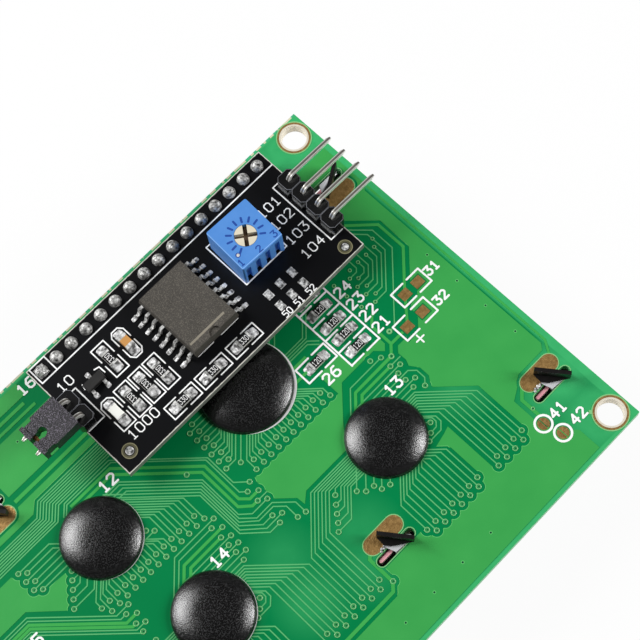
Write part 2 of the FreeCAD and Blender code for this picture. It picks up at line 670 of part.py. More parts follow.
def jumper_cap():
    """Black cap: wide body, two arms with a flange each and a round notch between them."""
    low = -CAP_THICKNESS / 2
    body = between(CAP_START, CAP_SHOULDER, CAP_WIDTH, CAP_THICKNESS, z=low)
    body = body.makeFillet(CAP_EDGE_RADIUS, upright_edges(body))
    pieces = [body]
    bore = CLIP_SIZE + 2 * CLIP_CLEARANCE
    notch_centre = CAP_NOTCH_START - CAP_NOTCH_WIDTH / 2
    cuts = [Part.makeCylinder(CAP_NOTCH_WIDTH / 2, CAP_THICKNESS, V(notch_centre, 0, low)),
            between(notch_centre, CAP_END, CAP_NOTCH_WIDTH / 2, CAP_THICKNESS, z=low)]
    for x, y in row_places(0.0, 0.0, JUMPER_PINS):
        pieces.append(between(CAP_SHOULDER + 2 * CAP_EDGE_RADIUS, CAP_END, CAP_ARM_WIDTH,
                              CAP_THICKNESS - 2 * CAP_EDGE_RADIUS, y, low + CAP_EDGE_RADIUS))
        pieces.append(between(CAP_END + CAP_FLANGE_LENGTH, CAP_END, CAP_FLANGE_WIDTH, CAP_THICKNESS, y, low))
        cuts.append(between(CAP_START, CAP_END, bore, bore, y, -bore / 2))
    bridge_start = CAP_START - CLIP_START - CLIP_LENGTH + CLIP_BRIDGE_LENGTH
    cuts.append(between(bridge_start + CLIP_CLEARANCE, bridge_start - CLIP_BRIDGE_LENGTH - CLIP_CLEARANCE,
                        PIN_PITCH, CLIP_BRIDGE_THICKNESS + 2 * CLIP_CLEARANCE,
                        z=CLIP_SIZE / 2 - CLIP_BRIDGE_THICKNESS - CLIP_CLEARANCE))
    return droop_with_pins(fuse_all(pieces).cut(cuts))


def jumper_clip():
    """Spring metal in the cap: a sleeve on each pin and a bridge across the notch."""
    hole = PIN_SIZE + 2 * PIN_CLEARANCE
    start = CAP_START - CLIP_START
    end = start - CLIP_LENGTH
    pieces = []
    for x, y in row_places(0.0, 0.0, JUMPER_PINS):
        sleeve = between(start, end, CLIP_SIZE, CLIP_SIZE, y, -CLIP_SIZE / 2)
        pieces.append(sleeve.cut(between(start, end, hole, hole, y, -hole / 2)))
    pieces.append(between(end + CLIP_BRIDGE_LENGTH, end, PIN_PITCH - CLIP_SIZE, CLIP_BRIDGE_THICKNESS,
                          z=CLIP_SIZE / 2 - CLIP_BRIDGE_THICKNESS))
    return droop_with_pins(fuse_all(pieces))


def chip_part(x, y, z, height, upright):
    """Small two terminal part: a plain body and slightly thicker metal ends."""
    size = (CHIP_PART_LENGTH, CHIP_PART_WIDTH)
    middle = block(size[0] - END_METAL, size[1] - 2 * END_STEP, height - END_STEP)
    pieces = [middle]
    for side in (-1, 1):
        pieces.append(block(END_METAL, size[1], height, side * (size[0] - END_METAL) / 2))
    part = fuse_all(pieces)
    if upright:
        part.rotate(V(0, 0, 0), UP, 90)
    part.translate(V(x, y, z))
    return part


def transistor_body():
    """Small moulded body with drafted sides."""
    x, y = on_backpack(TRANSISTOR_PLACE)
    bottom = BACKPACK_TOP + TRANSISTOR_LEAD_THICKNESS / 2
    top = BACKPACK_TOP + TRANSISTOR_HEIGHT
    wires = []
    for z, inset in ((bottom, CHIP_DRAFT / 2), ((bottom + top) / 2, 0.0), (top, CHIP_DRAFT / 2)):
        wires.append(rectangle(TRANSISTOR_LENGTH - 2 * inset, TRANSISTOR_WIDTH - 2 * inset, z, x, y))
    return Part.makeLoft(wires, True, True)


def transistor_leads():
    """Two leads at the near side and one at the far side, bent down to the board."""
    x, y = on_backpack(TRANSISTOR_PLACE)
    root = TRANSISTOR_WIDTH / 2
    reach = root + TRANSISTOR_LEAD_REACH
    sheet = TRANSISTOR_LEAD_THICKNESS
    middle = (TRANSISTOR_HEIGHT + sheet) / 2
    outline = [(root, middle), (root + 2 * sheet, middle), (root + 3 * sheet, sheet), (reach, sheet),
               (reach, 0.0), (root + 2 * sheet, 0.0), (root + sheet, middle - sheet), (root, middle - sheet)]
    leads = []
    for dx, side in ((-TRANSISTOR_LEAD_PITCH / 2, -1), (TRANSISTOR_LEAD_PITCH / 2, -1), (0.0, 1)):
        left = x + dx - TRANSISTOR_LEAD_WIDTH / 2
        points = [V(left, y + side * a, BACKPACK_TOP + b) for a, b in outline]
        leads.append(prism(points, V(TRANSISTOR_LEAD_WIDTH, 0, 0)))
    return Part.makeCompound(leads)


def underside_solder():
    """Solder drops on the tails of the bent pins and the trimmer's pins, below the backpack."""
    places = row_places(SIGNAL_X, SIGNAL_Y, SIGNAL_PINS) + row_places(JUMPER_X, JUMPER_Y, JUMPER_PINS)
    places += trimmer_pin_places()
    return solder_row(places, BACKPACK_UNDER, PIN_TAIL, -1)


def all_nodes():
    """Every piece of the module by name."""
    nodes = {
        "main_board": main_board(),
        "bezel": bezel(),
        "front_polarizer": block(POLARIZER_LENGTH, POLARIZER_WIDTH, POLARIZER_THICKNESS, z=SHEET),
        "front_glass": block(CELL_LENGTH, FRONT_GLASS_WIDTH, GLASS_THICKNESS, z=FRONT_GLASS_Z),
        "rear_glass": block(CELL_LENGTH, REAR_GLASS_WIDTH, GLASS_THICKNESS, z=REAR_GLASS_Z),
        "rear_polarizer": film(POLARIZER_THICKNESS, REAR_POLARIZER_Z),
        "diffuser": film(DIFFUSER_THICKNESS, DIFFUSER_Z),
        "light_guide": light_guide(),
        "backlight_tray": backlight_tray(),
        "backlight_leds": backlight_leds(),
        "backlight_terminals": backlight_terminals(),
        "contact_strip_lower": contact_strip(-1),
        "contact_strip_upper": contact_strip(1),
        "header_strip": header_strip(),
        "header_pins": header_pins(),
        "header_solder_back": solder_row(header_places(), BACKPACK_TOP, PIN_IN_SOLDER, 1),
        "header_solder_front": solder_row(header_places(), BEZEL_DEPTH, PIN_IN_SOLDER, -1),
        "backpack_board": backpack_board(),
        "controller_chip": controller_chip(),
        "controller_leads": controller_leads(),
        "trimmer_body": trimmer_body(),
        "trimmer_rotor": trimmer_rotor(),
        "trimmer_pins": trimmer_pins(),
        "signal_header_block": bent_header_block(SIGNAL_X, SIGNAL_Y, SIGNAL_PINS),
        "signal_header_pins": bent_header_pins(SIGNAL_X, SIGNAL_Y, SIGNAL_PINS, SIGNAL_BEND_RADIUS,
                                               SIGNAL_REACH),
        "jumper_header_block": bent_header_block(JUMPER_X, JUMPER_Y, JUMPER_PINS),
        "jumper_header_pins": bent_header_pins(JUMPER_X, JUMPER_Y, JUMPER_PINS, JUMPER_BEND_RADIUS,
                                               JUMPER_REACH),
        "jumper_cap": jumper_cap(),
        "jumper_clip": jumper_clip(),
        "capacitor": chip_part(*on_backpack(CAPACITOR_PLACE), BACKPACK_TOP, CAPACITOR_HEIGHT, True),
        "power_led": chip_part(*on_backpack(POWER_LED_PLACE), BACKPACK_TOP, LED_HEIGHT, True),
        "transistor_body": transistor_body(),
        "transistor_leads": transistor_leads(),
        "underside_solder": underside_solder(),
    }
    for i, (x, y, radius) in enumerate(COVERS):
        nodes["chip_cover_%d" % (i + 1)] = chip_cover(x, y, radius)
    for i, (x, y) in enumerate(BOARD_RESISTORS):
        nodes["board_resistor_%d" % (i + 1)] = chip_part(x, y, BOARD_TOP, RESISTOR_HEIGHT, False)
    for i, (dx, dy, upright) in enumerate(BACKPACK_RESISTORS):
        x, y = on_backpack((dx, dy))
        nodes["backpack_resistor_%d" % (i + 1)] = chip_part(x, y, BACKPACK_TOP, RESISTOR_HEIGHT, upright)
    return nodes


os.makedirs("parts", exist_ok=True)
for name, shape in all_nodes().items():
    shape.exportStep("parts/%s.step" % name)
    print(name, len(shape.Solids), round(shape.Volume, 3), shape.isValid())
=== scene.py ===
import json
import math

import bpy
from mathutils import Matrix, Vector
from mathutils.geometry import delaunay_2d_cdt


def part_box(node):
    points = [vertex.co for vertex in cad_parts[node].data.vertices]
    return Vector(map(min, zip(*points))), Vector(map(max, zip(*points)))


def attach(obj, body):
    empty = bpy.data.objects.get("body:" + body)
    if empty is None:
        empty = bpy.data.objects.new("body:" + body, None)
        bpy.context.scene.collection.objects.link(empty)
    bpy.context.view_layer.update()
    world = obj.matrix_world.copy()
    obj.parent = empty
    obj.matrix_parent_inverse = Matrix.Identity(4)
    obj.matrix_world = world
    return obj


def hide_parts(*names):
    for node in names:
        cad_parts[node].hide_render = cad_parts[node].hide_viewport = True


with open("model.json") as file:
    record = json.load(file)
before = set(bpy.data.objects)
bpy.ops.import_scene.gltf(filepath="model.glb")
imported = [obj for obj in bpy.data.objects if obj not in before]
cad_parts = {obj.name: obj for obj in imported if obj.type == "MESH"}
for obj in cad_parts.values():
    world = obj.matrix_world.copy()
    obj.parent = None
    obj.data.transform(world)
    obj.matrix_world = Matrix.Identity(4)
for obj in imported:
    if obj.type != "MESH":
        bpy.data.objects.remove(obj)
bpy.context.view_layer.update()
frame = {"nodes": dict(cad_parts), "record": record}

# Dressing of a character display module, seen from its back. Places are in millimetres in the
# module's own axes, and MM takes them to metres.
MM = 0.001


def low(node):
    """Lowest corner of a node in millimetres."""
    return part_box(node)[0] / MM


def high(node):
    """Highest corner of a node in millimetres."""
    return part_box(node)[1] / MM


def corners(node):
    """Both corners of a node in millimetres."""
    return low(node), high(node)


BOARD_LOW, BOARD_HIGH = corners("main_board")
BOARD_TOP = BOARD_HIGH.z
BACKPACK_LOW, BACKPACK_HIGH = corners("backpack_board")
BACKPACK_TOP = BACKPACK_HIGH.z

# copper and print
COPPER = 0.035
PRINT = 0.03
SUNK = 0.01
THIN = 0.15
WIDE = 0.38
VIA_RADIUS = 0.38
SMALL_VIA = 0.28
VIA_RING = 0.13
VIA_BORE = 0.1
TRACK_GAP = 0.3
EDGE_LINE = 0.07
VIA_GAP = 0.42
UNDER_COVER = 0.6

# middle, radius and top of the covers over the driver chips
COVERS = []
for number in range(1, 6):
    a, b = corners("chip_cover_%d" % number)
    COVERS.append(((a.x + b.x) / 2, (a.y + b.y) / 2, (b.x - a.x) / 2, b.z))
BIG_COVER, LEFT_COVER, RIGHT_COVER, MIDDLE_COVER, FAR_COVER = COVERS

# header
PIN_PITCH = 2.54
PIN_COUNT = 16
FIRST_PIN_X = 39.27
HEADER_Y = 26.75
HEADER = [(FIRST_PIN_X - PIN_PITCH * i, HEADER_Y) for i in range(PIN_COUNT)]


# Finishes

def paint(red, green, blue):
    """A colour as it is seen, in 255ths, for a shader."""
    def linear(level):
        share = level / 255
        return share / 12.92 if share <= 0.04045 else ((share + 0.055) / 1.055) ** 2.4
    return (linear(red), linear(green), linear(blue), 1.0)


def operator(operation, swapped=False):
    """A sum on two numbers, at least one of which changes over a surface."""
    def work(self, other=0.0):
        first, second = (other, self) if swapped else (self, other)
        return self.finish.sum_with(operation, first, second)
    return work


class Value:
    """A number or colour that changes over a surface. Sums on numbers add their own nodes."""

    def __init__(self, finish, socket):
        self.finish = finish
        self.socket = socket

    __add__ = operator("ADD")
    __radd__ = operator("ADD", True)
    __sub__ = operator("SUBTRACT")
    __rsub__ = operator("SUBTRACT", True)
    __mul__ = operator("MULTIPLY")
    __rmul__ = operator("MULTIPLY", True)
    __truediv__ = operator("DIVIDE")
    __gt__ = operator("GREATER_THAN")
    __lt__ = operator("LESS_THAN")
    __mod__ = operator("FLOORED_MODULO")
    __abs__ = operator("ABSOLUTE")


class Finish:
    """One material: the same all over, until colour(), roughness() or relief() vary it."""

    def __init__(self, name, roughness=0.5, metallic=0.0, coat=0.0, clear=0.0, shine=0.5):
        self.material = bpy.data.materials.new(name)
        self.material.use_nodes = True
        self.tree = self.material.node_tree
        self.shader = self.tree.nodes["Principled BSDF"]
        self.shader.inputs["Roughness"].default_value = roughness
        self.shader.inputs["Metallic"].default_value = metallic
        self.shader.inputs["Coat Weight"].default_value = coat
        self.shader.inputs["Coat Roughness"].default_value = 0.12
        self.shader.inputs["Specular IOR Level"].default_value = shine
        self.shader.inputs["Transmission Weight"].default_value = clear

    def node(self, kind, settings, inputs, output=0):
        made = self.tree.nodes.new(kind)
        for key, value in settings.items():
            setattr(made, key, value)
        for key, value in inputs.items():
            if isinstance(value, Value):
                self.tree.links.new(value.socket, made.inputs[key])
            else:
                made.inputs[key].default_value = value
        return Value(self, made.outputs[output])

    def feed(self, name, value):
        if isinstance(value, Value):
            self.tree.links.new(value.socket, self.shader.inputs[name])
        else:
            self.shader.inputs[name].default_value = value
        return self

    def mix(self, share, first, second):
        """A colour between two; a plain triple is a colour as it is seen, in 255ths."""
        ends = [paint(*colour) if isinstance(colour, tuple) else colour for colour in (first, second)]
        return self.node("ShaderNodeMix", {"data_type": "RGBA"}, {0: share, 6: ends[0], 7: ends[1]}, 2)

    def place(self):
        """Where on the object a point lies, in metres."""
        return self.node("ShaderNodeTexCoord", {}, {}, "Object")

    def part_of(self, vector, axis):
        return self.node("ShaderNodeSeparateXYZ", {}, {0: vector}, axis)

    def share_of_box(self, axis):
        """How far along its own box a point lies, from 0 to 1."""
        return self.part_of(self.node("ShaderNodeTexCoord", {}, {}, "Generated"), axis)

    def along(self, axis):
        """One axis of a point's place, in millimetres."""
        return self.part_of(self.place(), axis) / MM

    def upright(self):
        """1 on faces that look straight up or down, 0 on walls."""
        return abs(self.part_of(self.node("ShaderNodeNewGeometry", {}, {}, "True Normal"), "Z"))

    def stretched(self, factors):
        """A point's place, scaled along each axis."""
        return self.node("ShaderNodeVectorMath", {"operation": "MULTIPLY"}, {0: self.place(), 1: factors})

    def mottle(self, size, detail=2.0, stretch=(1.0, 1.0, 1.0)):
        """Soft cloudy change of about that size in millimetres, from 0 to 1."""
        return self.node("ShaderNodeTexNoise", {}, {"Vector": self.stretched(stretch),
                                                    "Scale": 1 / (size * MM), "Detail": detail})

    def sum_with(self, operation, first, second, clamp=False):
        settings = {"operation": operation, "use_clamp": clamp}
        return self.node("ShaderNodeMath", settings, {0: first, 1: second})

    def larger(self, first, second):
        return self.sum_with("MAXIMUM", first, second)

    def beyond(self, value, limit, soft):
        """0 below a limit, rising to 1 over a soft step."""
        return self.sum_with("MULTIPLY", value - limit, 1 / soft, True)

    def spots(self, centres, soft):
        """A share within the reach of any centre, with a soft edge; each centre is x, y, reach, share."""
        flat = self.stretched((1.0, 1.0, 0.0))
        found = 0.0
        for x, y, reach, strength in centres:
            away = self.node("ShaderNodeVectorMath", {"operation": "DISTANCE"},
                             {0: flat, 1: (x * MM, y * MM, 0.0)}, "Value")
            share = self.sum_with("MULTIPLY", reach + soft - away / MM, 1 / soft, True)
            found = self.larger(share * strength, found)
        return found

    def grains(self, size):
        """Small cells of about that size in millimetres, from 0 to 1."""
        return self.node("ShaderNodeTexVoronoi", {}, {"Vector": self.place(), "Scale": 1 / (size * MM)})

    def colour(self, value):
        return self.feed("Base Color", value)

    def roughness(self, value):
        return self.feed("Roughness", value)

    def relief(self, height, depth):
        """Small bumps, depth in millimetres."""
        bumps = self.node("ShaderNodeBump", {}, {"Height": height, "Distance": depth * MM})
        return self.feed("Normal", bumps)


# places with no copper on either face, where the lacquer looks pale: centre, reach and how pale
PALE_PLACES = (
    (45.6, -19.6, 2.2, 0.9), (42.6, -20.6, 1.0, 0.7), (45.3, 26.0, 3.2, 0.9), (41.0, 28.6, 1.2, 0.8),
    (45.3, -26.6, 2.6, 0.8), (5.6, -10.8, 1.2, 0.35), (4.2, -17.0, 1.4, 0.45), (36.4, -11.6, 1.0, 0.4),
    (14.6, -15.6, 1.6, 0.35), (12.0, -19.0, 1.2, 0.35), (-20.4, -10.6, 2.0, 0.4), (-2.4, -9.8, 1.2, 0.35),
)


def laminate(finish, face, dark, light, size, depth):
    """Lacquered faces with glass cloth under them, and cut laminate on the walls."""
    cut = finish.mix(finish.mottle(size, stretch=(0.3, 0.3, 3.0)), dark, light)
    finish.colour(finish.mix(finish.upright() > 0.5, cut, face))
    cloth = finish.mottle(0.35, 1.0) * 0.5 + finish.mottle(2.5) * 0.5
    return finish.relief(cloth, depth)


def green_lacquer():
    """Lacquer over glass cloth: darkest by the copper, pale along the edges and in open places."""
    finish = Finish("green_lacquer", roughness=0.34, shine=0.15)
    face = finish.mix(finish.mottle(14.0), (0, 116, 62), (0, 136, 76))
    margin = finish.larger(finish.beyond(finish.along("X"), 47.5, 0.4),
                           finish.beyond(abs(finish.along("Y")), 29.2, 0.4))
    open_places = finish.larger(finish.spots(PALE_PLACES, 4.0), margin)
    face = finish.mix(open_places * (0.7 + finish.mottle(1.5) * 0.3), face, (66, 184, 112))
    dashes = finish.mottle(0.9, 1.0, (1.0, 0.1, 0.1)) > 0.52
    rim = finish.mix(dashes, (216, 214, 184), (70, 178, 128))
    face = finish.mix(finish.beyond(finish.along("Y"), 29.72, 0.06), face, rim)
    return laminate(finish, face, (120, 196, 140), (70, 170, 104), 0.6, 0.012)


def black_lacquer():
    """Black lacquer on both faces of the small board, with a ragged pale rim."""
    finish = Finish("black_lacquer", roughness=0.3, shine=0.3)
    face = finish.mix(finish.mottle(6.0), (8, 9, 11), (15, 15, 18))
    ragged = finish.mottle(0.5) * 0.16
    near_edge = 0.0
    for axis, name in enumerate("XY"):
        first = BACKPACK_LOW[axis]
        last = BACKPACK_HIGH[axis]
        away = abs(finish.along(name) - (first + last) / 2) + ragged
        near_edge = finish.larger(finish.beyond(away, (last - first) / 2 - 0.06, 0.06), near_edge)
    face = finish.mix(near_edge, face, (216, 214, 204))
    return laminate(finish, face, (150, 150, 142), (84, 88, 84), 0.5, 0.006)


def covered_copper(name, dark, light, roughness):
    """Copper seen through lacquer."""
    finish = Finish(name, roughness=roughness, coat=0.1, shine=0.35)
    finish.colour(finish.mix(finish.mottle(5.0), dark, light))
    return finish.relief(finish.mottle(0.5), 0.01)


def bare_metal(name, dark, light, roughness, size, depth=0.01, metallic=1.0, contrast=1.0):
    """Metal with an uneven, handled surface; contrast parts it into dull patches and bright ones, and at a
    high contrast the bright patches are in part painted highlights.
    """
    finish = Finish(name, metallic=metallic)
    spots = finish.mottle(size)
    finish.colour(finish.mix((spots - 0.5) * contrast + 0.5, dark, light))
    finish.roughness(roughness + spots * 0.15)
    return finish.relief(finish.mottle(size / 2), depth)


def upright_wire():
    """Square wire with fine lines along it."""
    finish = Finish("pin_wire_upright", metallic=1.0)
    lines = finish.mottle(0.12, 3.0, (1.0, 1.0, 0.08))
    finish.colour(finish.mix(lines, (120, 116, 110), (190, 186, 178)))
    finish.roughness(0.22 + lines * 0.22)
    return finish.relief(lines, 0.006)


def moulded(name, dark, light, roughness, size, depth, shine=0.5):
    """Moulded plastic or resin with a fine grain."""
    finish = Finish(name, shine=shine)
    cloud = finish.mottle(size * 12)
    finish.colour(finish.mix(cloud, dark, light))
    finish.roughness(roughness + cloud * 0.08)
    return finish.relief(finish.mottle(size, 3.0), depth)


def grainy(name, dark, light, speck, amount, roughness, size, depth, shine):
    """Plastic or resin with a coarse grain; bright specks on the grain of its faces that look up or down
    are in part the material's own flecks and in part painted glints.
    """
    finish = Finish(name, shine=shine)
    grain = finish.grains(size)
    base = finish.mix(finish.mottle(size * 12), dark, light)
    # bright specks only on faces that look up or down: in part painted glints
    finish.colour(finish.mix((grain > 0.62) * finish.upright() * amount, base, speck))
    finish.roughness(roughness + finish.mottle(size * 2) * 0.15)
    return finish.relief(finish.mottle(size, 2.0) + grain * 0.4, depth)


def square_wire(name, middle_y, pitch):
    """Drawn wire along X with a painted highlight along both edges beside a darker middle."""
    finish = Finish(name, metallic=0.55)
    across = abs(((finish.along("Y") - (middle_y - 10.5 * pitch)) % pitch) - pitch / 2)
    lines = finish.mottle(0.12, 3.0, (0.08, 1.0, 1.0))
    middle = finish.mix(lines, (104, 100, 94), (150, 145, 136))
    # painted highlight: the light colour along both edges of each pin
    edges = finish.mix(lines, (226, 224, 218), (252, 251, 247))
    finish.colour(finish.mix(finish.beyond(across, 0.1, 0.06), middle, edges))
    finish.roughness(0.2 + lines * 0.2)
    return finish.relief(lines, 0.006)


def clear_sheet(name, tint, roughness):
    """Glass or clear plate."""
    finish = Finish(name, roughness=roughness, clear=0.9)
    finish.colour(finish.mix(finish.mottle(20.0), tint, (235, 245, 245)))
    return finish


def display_film():
    """Dark blue polarizer: faint character fields show through it, twenty across and four down."""
    finish = Finish("display_film", roughness=0.12, coat=0.6)
    fields = 1.0
    for axis, count, pitch, reach in (("X", 20, 3.55, 1.48), ("Y", 4, 5.35, 2.38)):
        spot = finish.along(axis)
        within = abs(((spot + 20 * pitch) % pitch) - pitch / 2) < reach
        fields = within * (abs(spot) < count * pitch / 2) * fields
    blue = finish.mix(finish.mottle(30.0), (16, 34, 150), (22, 44, 172))
    return finish.colour(finish.mix(fields * 0.5, blue, (30, 58, 186)))


def painted_steel():
    """Satin black paint with a fine orange peel; a pale band from just below to just above the board's back
    face is a painted highlight on the tabs' twisted part.
    """
    finish = Finish("bezel_paint", shine=0.35)
    face = finish.mix(finish.mottle(1.2), (12, 11, 11), (24, 21, 21))
    height = finish.along("Z")
    # painted highlight: a pale band on the tabs where they twist, near the board's back face
    painted_tab_highlight = finish.beyond(height, BOARD_TOP - 0.6, 0.05) - finish.beyond(height, BOARD_TOP + 0.4, 0.1)
    finish.colour(finish.mix(painted_tab_highlight, face, (214, 214, 218)))
    finish.roughness(0.3 + finish.mottle(0.8) * 0.2)
    return finish.relief(finish.mottle(0.4), 0.008)


def chip_part_finish(name, axis, top, side, tall, metal_from=0.345):
    """Two metal ends, a pale body and a glazed top between them."""
    finish = Finish(name, roughness=0.3)
    along = abs(finish.share_of_box(axis) - 0.5)
    ends = along > metal_from
    glaze = finish.share_of_box("Z") > tall
    speck = (finish.mottle(0.5) - 0.5) * 3.0 + 0.5
    body = finish.mix(glaze, side, top)
    # bright patches on the metal ends: in part painted highlights
    metal = finish.mix(speck, (128, 128, 126), (252, 252, 249))
    finish.colour(finish.mix(ends, body, metal))
    finish.feed("Metallic", ends * 0.2)
    return finish.relief(finish.mottle(0.25), 0.01)


POUR_GREEN = covered_copper("lacquered_pour", (52, 158, 74), (66, 172, 84), 0.34)
# thin tracks lighter than the pours: copper under lacquer with, in part, a painted highlight of their
# sloped edges
TRACK_GREEN = covered_copper("lacquered_tracks", (84, 176, 108), (104, 192, 124), 0.3)
# via rings lighter than the pours: copper under lacquer with, in part, a painted highlight of their sloped
# edges
VIA_GREEN = covered_copper("lacquered_vias", (120, 190, 122), (146, 206, 142), 0.3)
PLUG_GREEN = covered_copper("via_plugs", (40, 138, 74), (56, 154, 86), 0.34)
# dark green for the via holes: their painted shade
BORE_SHADE_GREEN = covered_copper("via_bore_shade", (6, 66, 40), (12, 84, 52), 0.4)
WHITE_PRINT = moulded("white_print", (250, 252, 250), (255, 255, 255), 0.55, 0.15, 0.008)
BARE_PAD = bare_metal("bare_pad", (128, 94, 46), (206, 166, 104), 0.34, 0.36, 0.05, 0.6)
WIDE_GREEN = covered_copper("lacquered_wide_tracks", (54, 164, 74), (70, 178, 86), 0.32)
# pale green along copper edges: a painted highlight of the sloped edge under the lacquer
EDGE_HIGHLIGHT_GREEN = covered_copper("lacquered_edge_highlights", (92, 196, 104), (112, 206, 120), 0.3)
# at a high contrast the bright patches of these metals are in part painted highlights
TINNED_PAD = bare_metal("tinned_pad", (84, 84, 84), (255, 255, 253), 0.24, 0.45, 0.06, 0.2, 3.5)
CREAM_PLATING = bare_metal("cream_plating", (226, 216, 194), (250, 244, 228), 0.3, 0.5, 0.01, 0.2)
SOLDER = bare_metal("solder", (104, 103, 102), (255, 255, 255), 0.18, 0.6, 0.12, 0.15, 3.5)
DULL_SOLDER = bare_metal("dull_solder", (66, 65, 64), (236, 236, 233), 0.26, 0.4, 0.12, 0.5, 2.5)
TIN = bare_metal("tin", (96, 95, 93), (255, 255, 253), 0.2, 0.5, 0.05, 0.15, 3.0)
# pins with a painted highlight along their edges
SIGNAL_WIRE = square_wire("signal_wire", high("signal_header_pins").y - 0.25, 2.54)
JUMPER_WIRE = square_wire("jumper_wire", high("jumper_header_pins").y - 0.25, 2.54)
CLIP_BRONZE = bare_metal("clip_bronze", (96, 70, 44), (142, 106, 66), 0.28, 0.5)
# the bright specks of the resin and of the two plastics below are in part painted glints
RESIN = grainy("black_resin", (1, 1, 1), (3, 3, 3), (190, 190, 193),
               0.05, 0.14, 0.14, 0.028, 0.85)
BLACK_PLASTIC = moulded("black_plastic", (8, 8, 9), (16, 16, 17), 0.16, 0.22, 0.006, 1.0)
CAP_PLASTIC = grainy("cap_plastic", (24, 23, 26), (38, 36, 42), (112, 106, 118),
                     0.7, 0.3, 0.13, 0.03, 0.5)
CHIP_PLASTIC = grainy("chip_plastic", (58, 55, 50), (76, 72, 66), (120, 114, 104),
                      0.4, 0.5, 0.13, 0.02, 0.4)
BLUE_PLASTIC = moulded("blue_plastic", (74, 136, 212), (92, 150, 224), 0.36, 0.2, 0.02)
TRANSISTOR_PLASTIC = moulded("transistor_plastic", (16, 15, 15), (36, 35, 34), 0.4, 0.2, 0.01)
# pale lines on the header cells' top edges: a painted highlight
EDGE_GLINT = moulded("plastic_edge_highlights", (104, 106, 112), (150, 152, 158), 0.3, 0.1, 0.01)
# dark blue for the trimmer's grooves, figures and dimple: their painted shade
GROOVE_SHADE_BLUE = moulded("blue_groove_shade", (14, 64, 150), (24, 78, 166), 0.5, 0.2, 0.01)
# pale blue for the trimmer top's edges: a painted highlight
BLUE_EDGE_HIGHLIGHT = moulded("blue_edge_highlights", (128, 178, 240), (150, 196, 250), 0.4, 0.2, 0.01)
BAR_GREY = moulded("bar_grey", (128, 122, 108), (150, 143, 128), 0.5, 0.2, 0.01)
OLIVE = moulded("olive_ring", (70, 68, 46), (104, 100, 72), 0.4, 0.12, 0.01)
PALE_OLIVE = moulded("olive_rim", (128, 124, 92), (156, 150, 116), 0.4, 0.12, 0.01)
CREAM = moulded("cream_plastic", (214, 204, 178), (236, 228, 206), 0.4, 0.2, 0.01)
# brown for the floor of the rotor's cross slot: its painted shade
SLOT_SHADE_BROWN = moulded("rotor_slot_shade", (70, 52, 36), (96, 74, 52), 0.6, 0.15, 0.02)
PINK_RUBBER = moulded("pink_rubber", (226, 146, 160), (244, 176, 188), 0.4, 0.3, 0.02)
# deep rose: painted shade of the pink strip lower in the slots
ROSE_SHADE = moulded("rose_rubber_painted_shade", (128, 58, 70), (156, 80, 92), 0.4, 0.3, 0.02)
WHITE_PLASTIC = moulded("white_plastic", (232, 232, 228), (246, 246, 243), 0.45, 0.3, 0.01)
LAMP_WHITE = moulded("lamp_white", (232, 230, 204), (246, 244, 224), 0.4, 0.3, 0.01)
GREY_FILM = moulded("grey_film", (120, 120, 122), (138, 138, 140), 0.2, 0.5, 0.005)
CELL_GLASS = clear_sheet("cell_glass", (214, 234, 230), 0.03)
CLEAR_PLATE = clear_sheet("clear_plate", (228, 236, 240), 0.05)
CAPACITOR = chip_part_finish("capacitor_body", "Y", (206, 150, 86), (196, 140, 78), 0.9, 0.26)
RESISTOR_LEVEL = chip_part_finish("resistor_level", "X", (12, 11, 13), (226, 224, 218), 0.9)
RESISTOR_UPRIGHT = chip_part_finish("resistor_upright", "Y", (12, 11, 13), (226, 224, 218), 0.9)
LAMP_BODY = chip_part_finish("lamp_body", "Y", (250, 251, 244), (238, 238, 230), 0.85, 0.42)

NODE_FINISHES = {
    "main_board": green_lacquer(), "bezel": painted_steel(), "front_polarizer": display_film(),
    "front_glass": CELL_GLASS, "rear_glass": CELL_GLASS, "rear_polarizer": GREY_FILM,
    "diffuser": WHITE_PLASTIC, "light_guide": CLEAR_PLATE, "backlight_tray": WHITE_PLASTIC,
    "backlight_leds": LAMP_WHITE, "backlight_terminals": TIN, "contact_strip_lower": PINK_RUBBER,
    "contact_strip_upper": PINK_RUBBER, "header_strip": BLACK_PLASTIC, "header_pins": upright_wire(),
    "header_solder_back": DULL_SOLDER, "header_solder_front": SOLDER, "backpack_board": black_lacquer(),
    "controller_chip": CHIP_PLASTIC, "controller_leads": TIN, "trimmer_body": BLUE_PLASTIC,
    "trimmer_rotor": CREAM, "trimmer_pins": TIN, "signal_header_block": BLACK_PLASTIC,
    "signal_header_pins": SIGNAL_WIRE, "jumper_header_block": BLACK_PLASTIC,
    "jumper_header_pins": JUMPER_WIRE, "jumper_cap": CAP_PLASTIC, "jumper_clip": CLIP_BRONZE,
    "capacitor": CAPACITOR, "power_led": LAMP_BODY, "transistor_body": TRANSISTOR_PLASTIC,
    "transistor_leads": TIN, "underside_solder": SOLDER,
}


def dress_nodes():
    """Gives every carried over node its finish."""
    for name, node in frame["nodes"].items():
        if name in NODE_FINISHES:
            finish = NODE_FINISHES[name]
        elif name.startswith("chip_cover"):
            finish = RESIN
        else:
            size = high(name) - low(name)
            finish = RESISTOR_LEVEL if size.x > size.y else RESISTOR_UPRIGHT
        if not node.data.materials:
            node.data.materials.append(None)
        for slot in node.material_slots:
            slot.material = finish.material


# Flat outlines, counter-clockwise

def disc(x, y, radius, sides=20):
    turns = [2 * math.pi * i / sides for i in range(sides)]
    return [(x + radius * math.cos(a), y + radius * math.sin(a)) for a in turns]


def rectangle(x0, y0, x1, y1):
    return [(x0, y0), (x1, y0), (x1, y1), (x0, y1)]


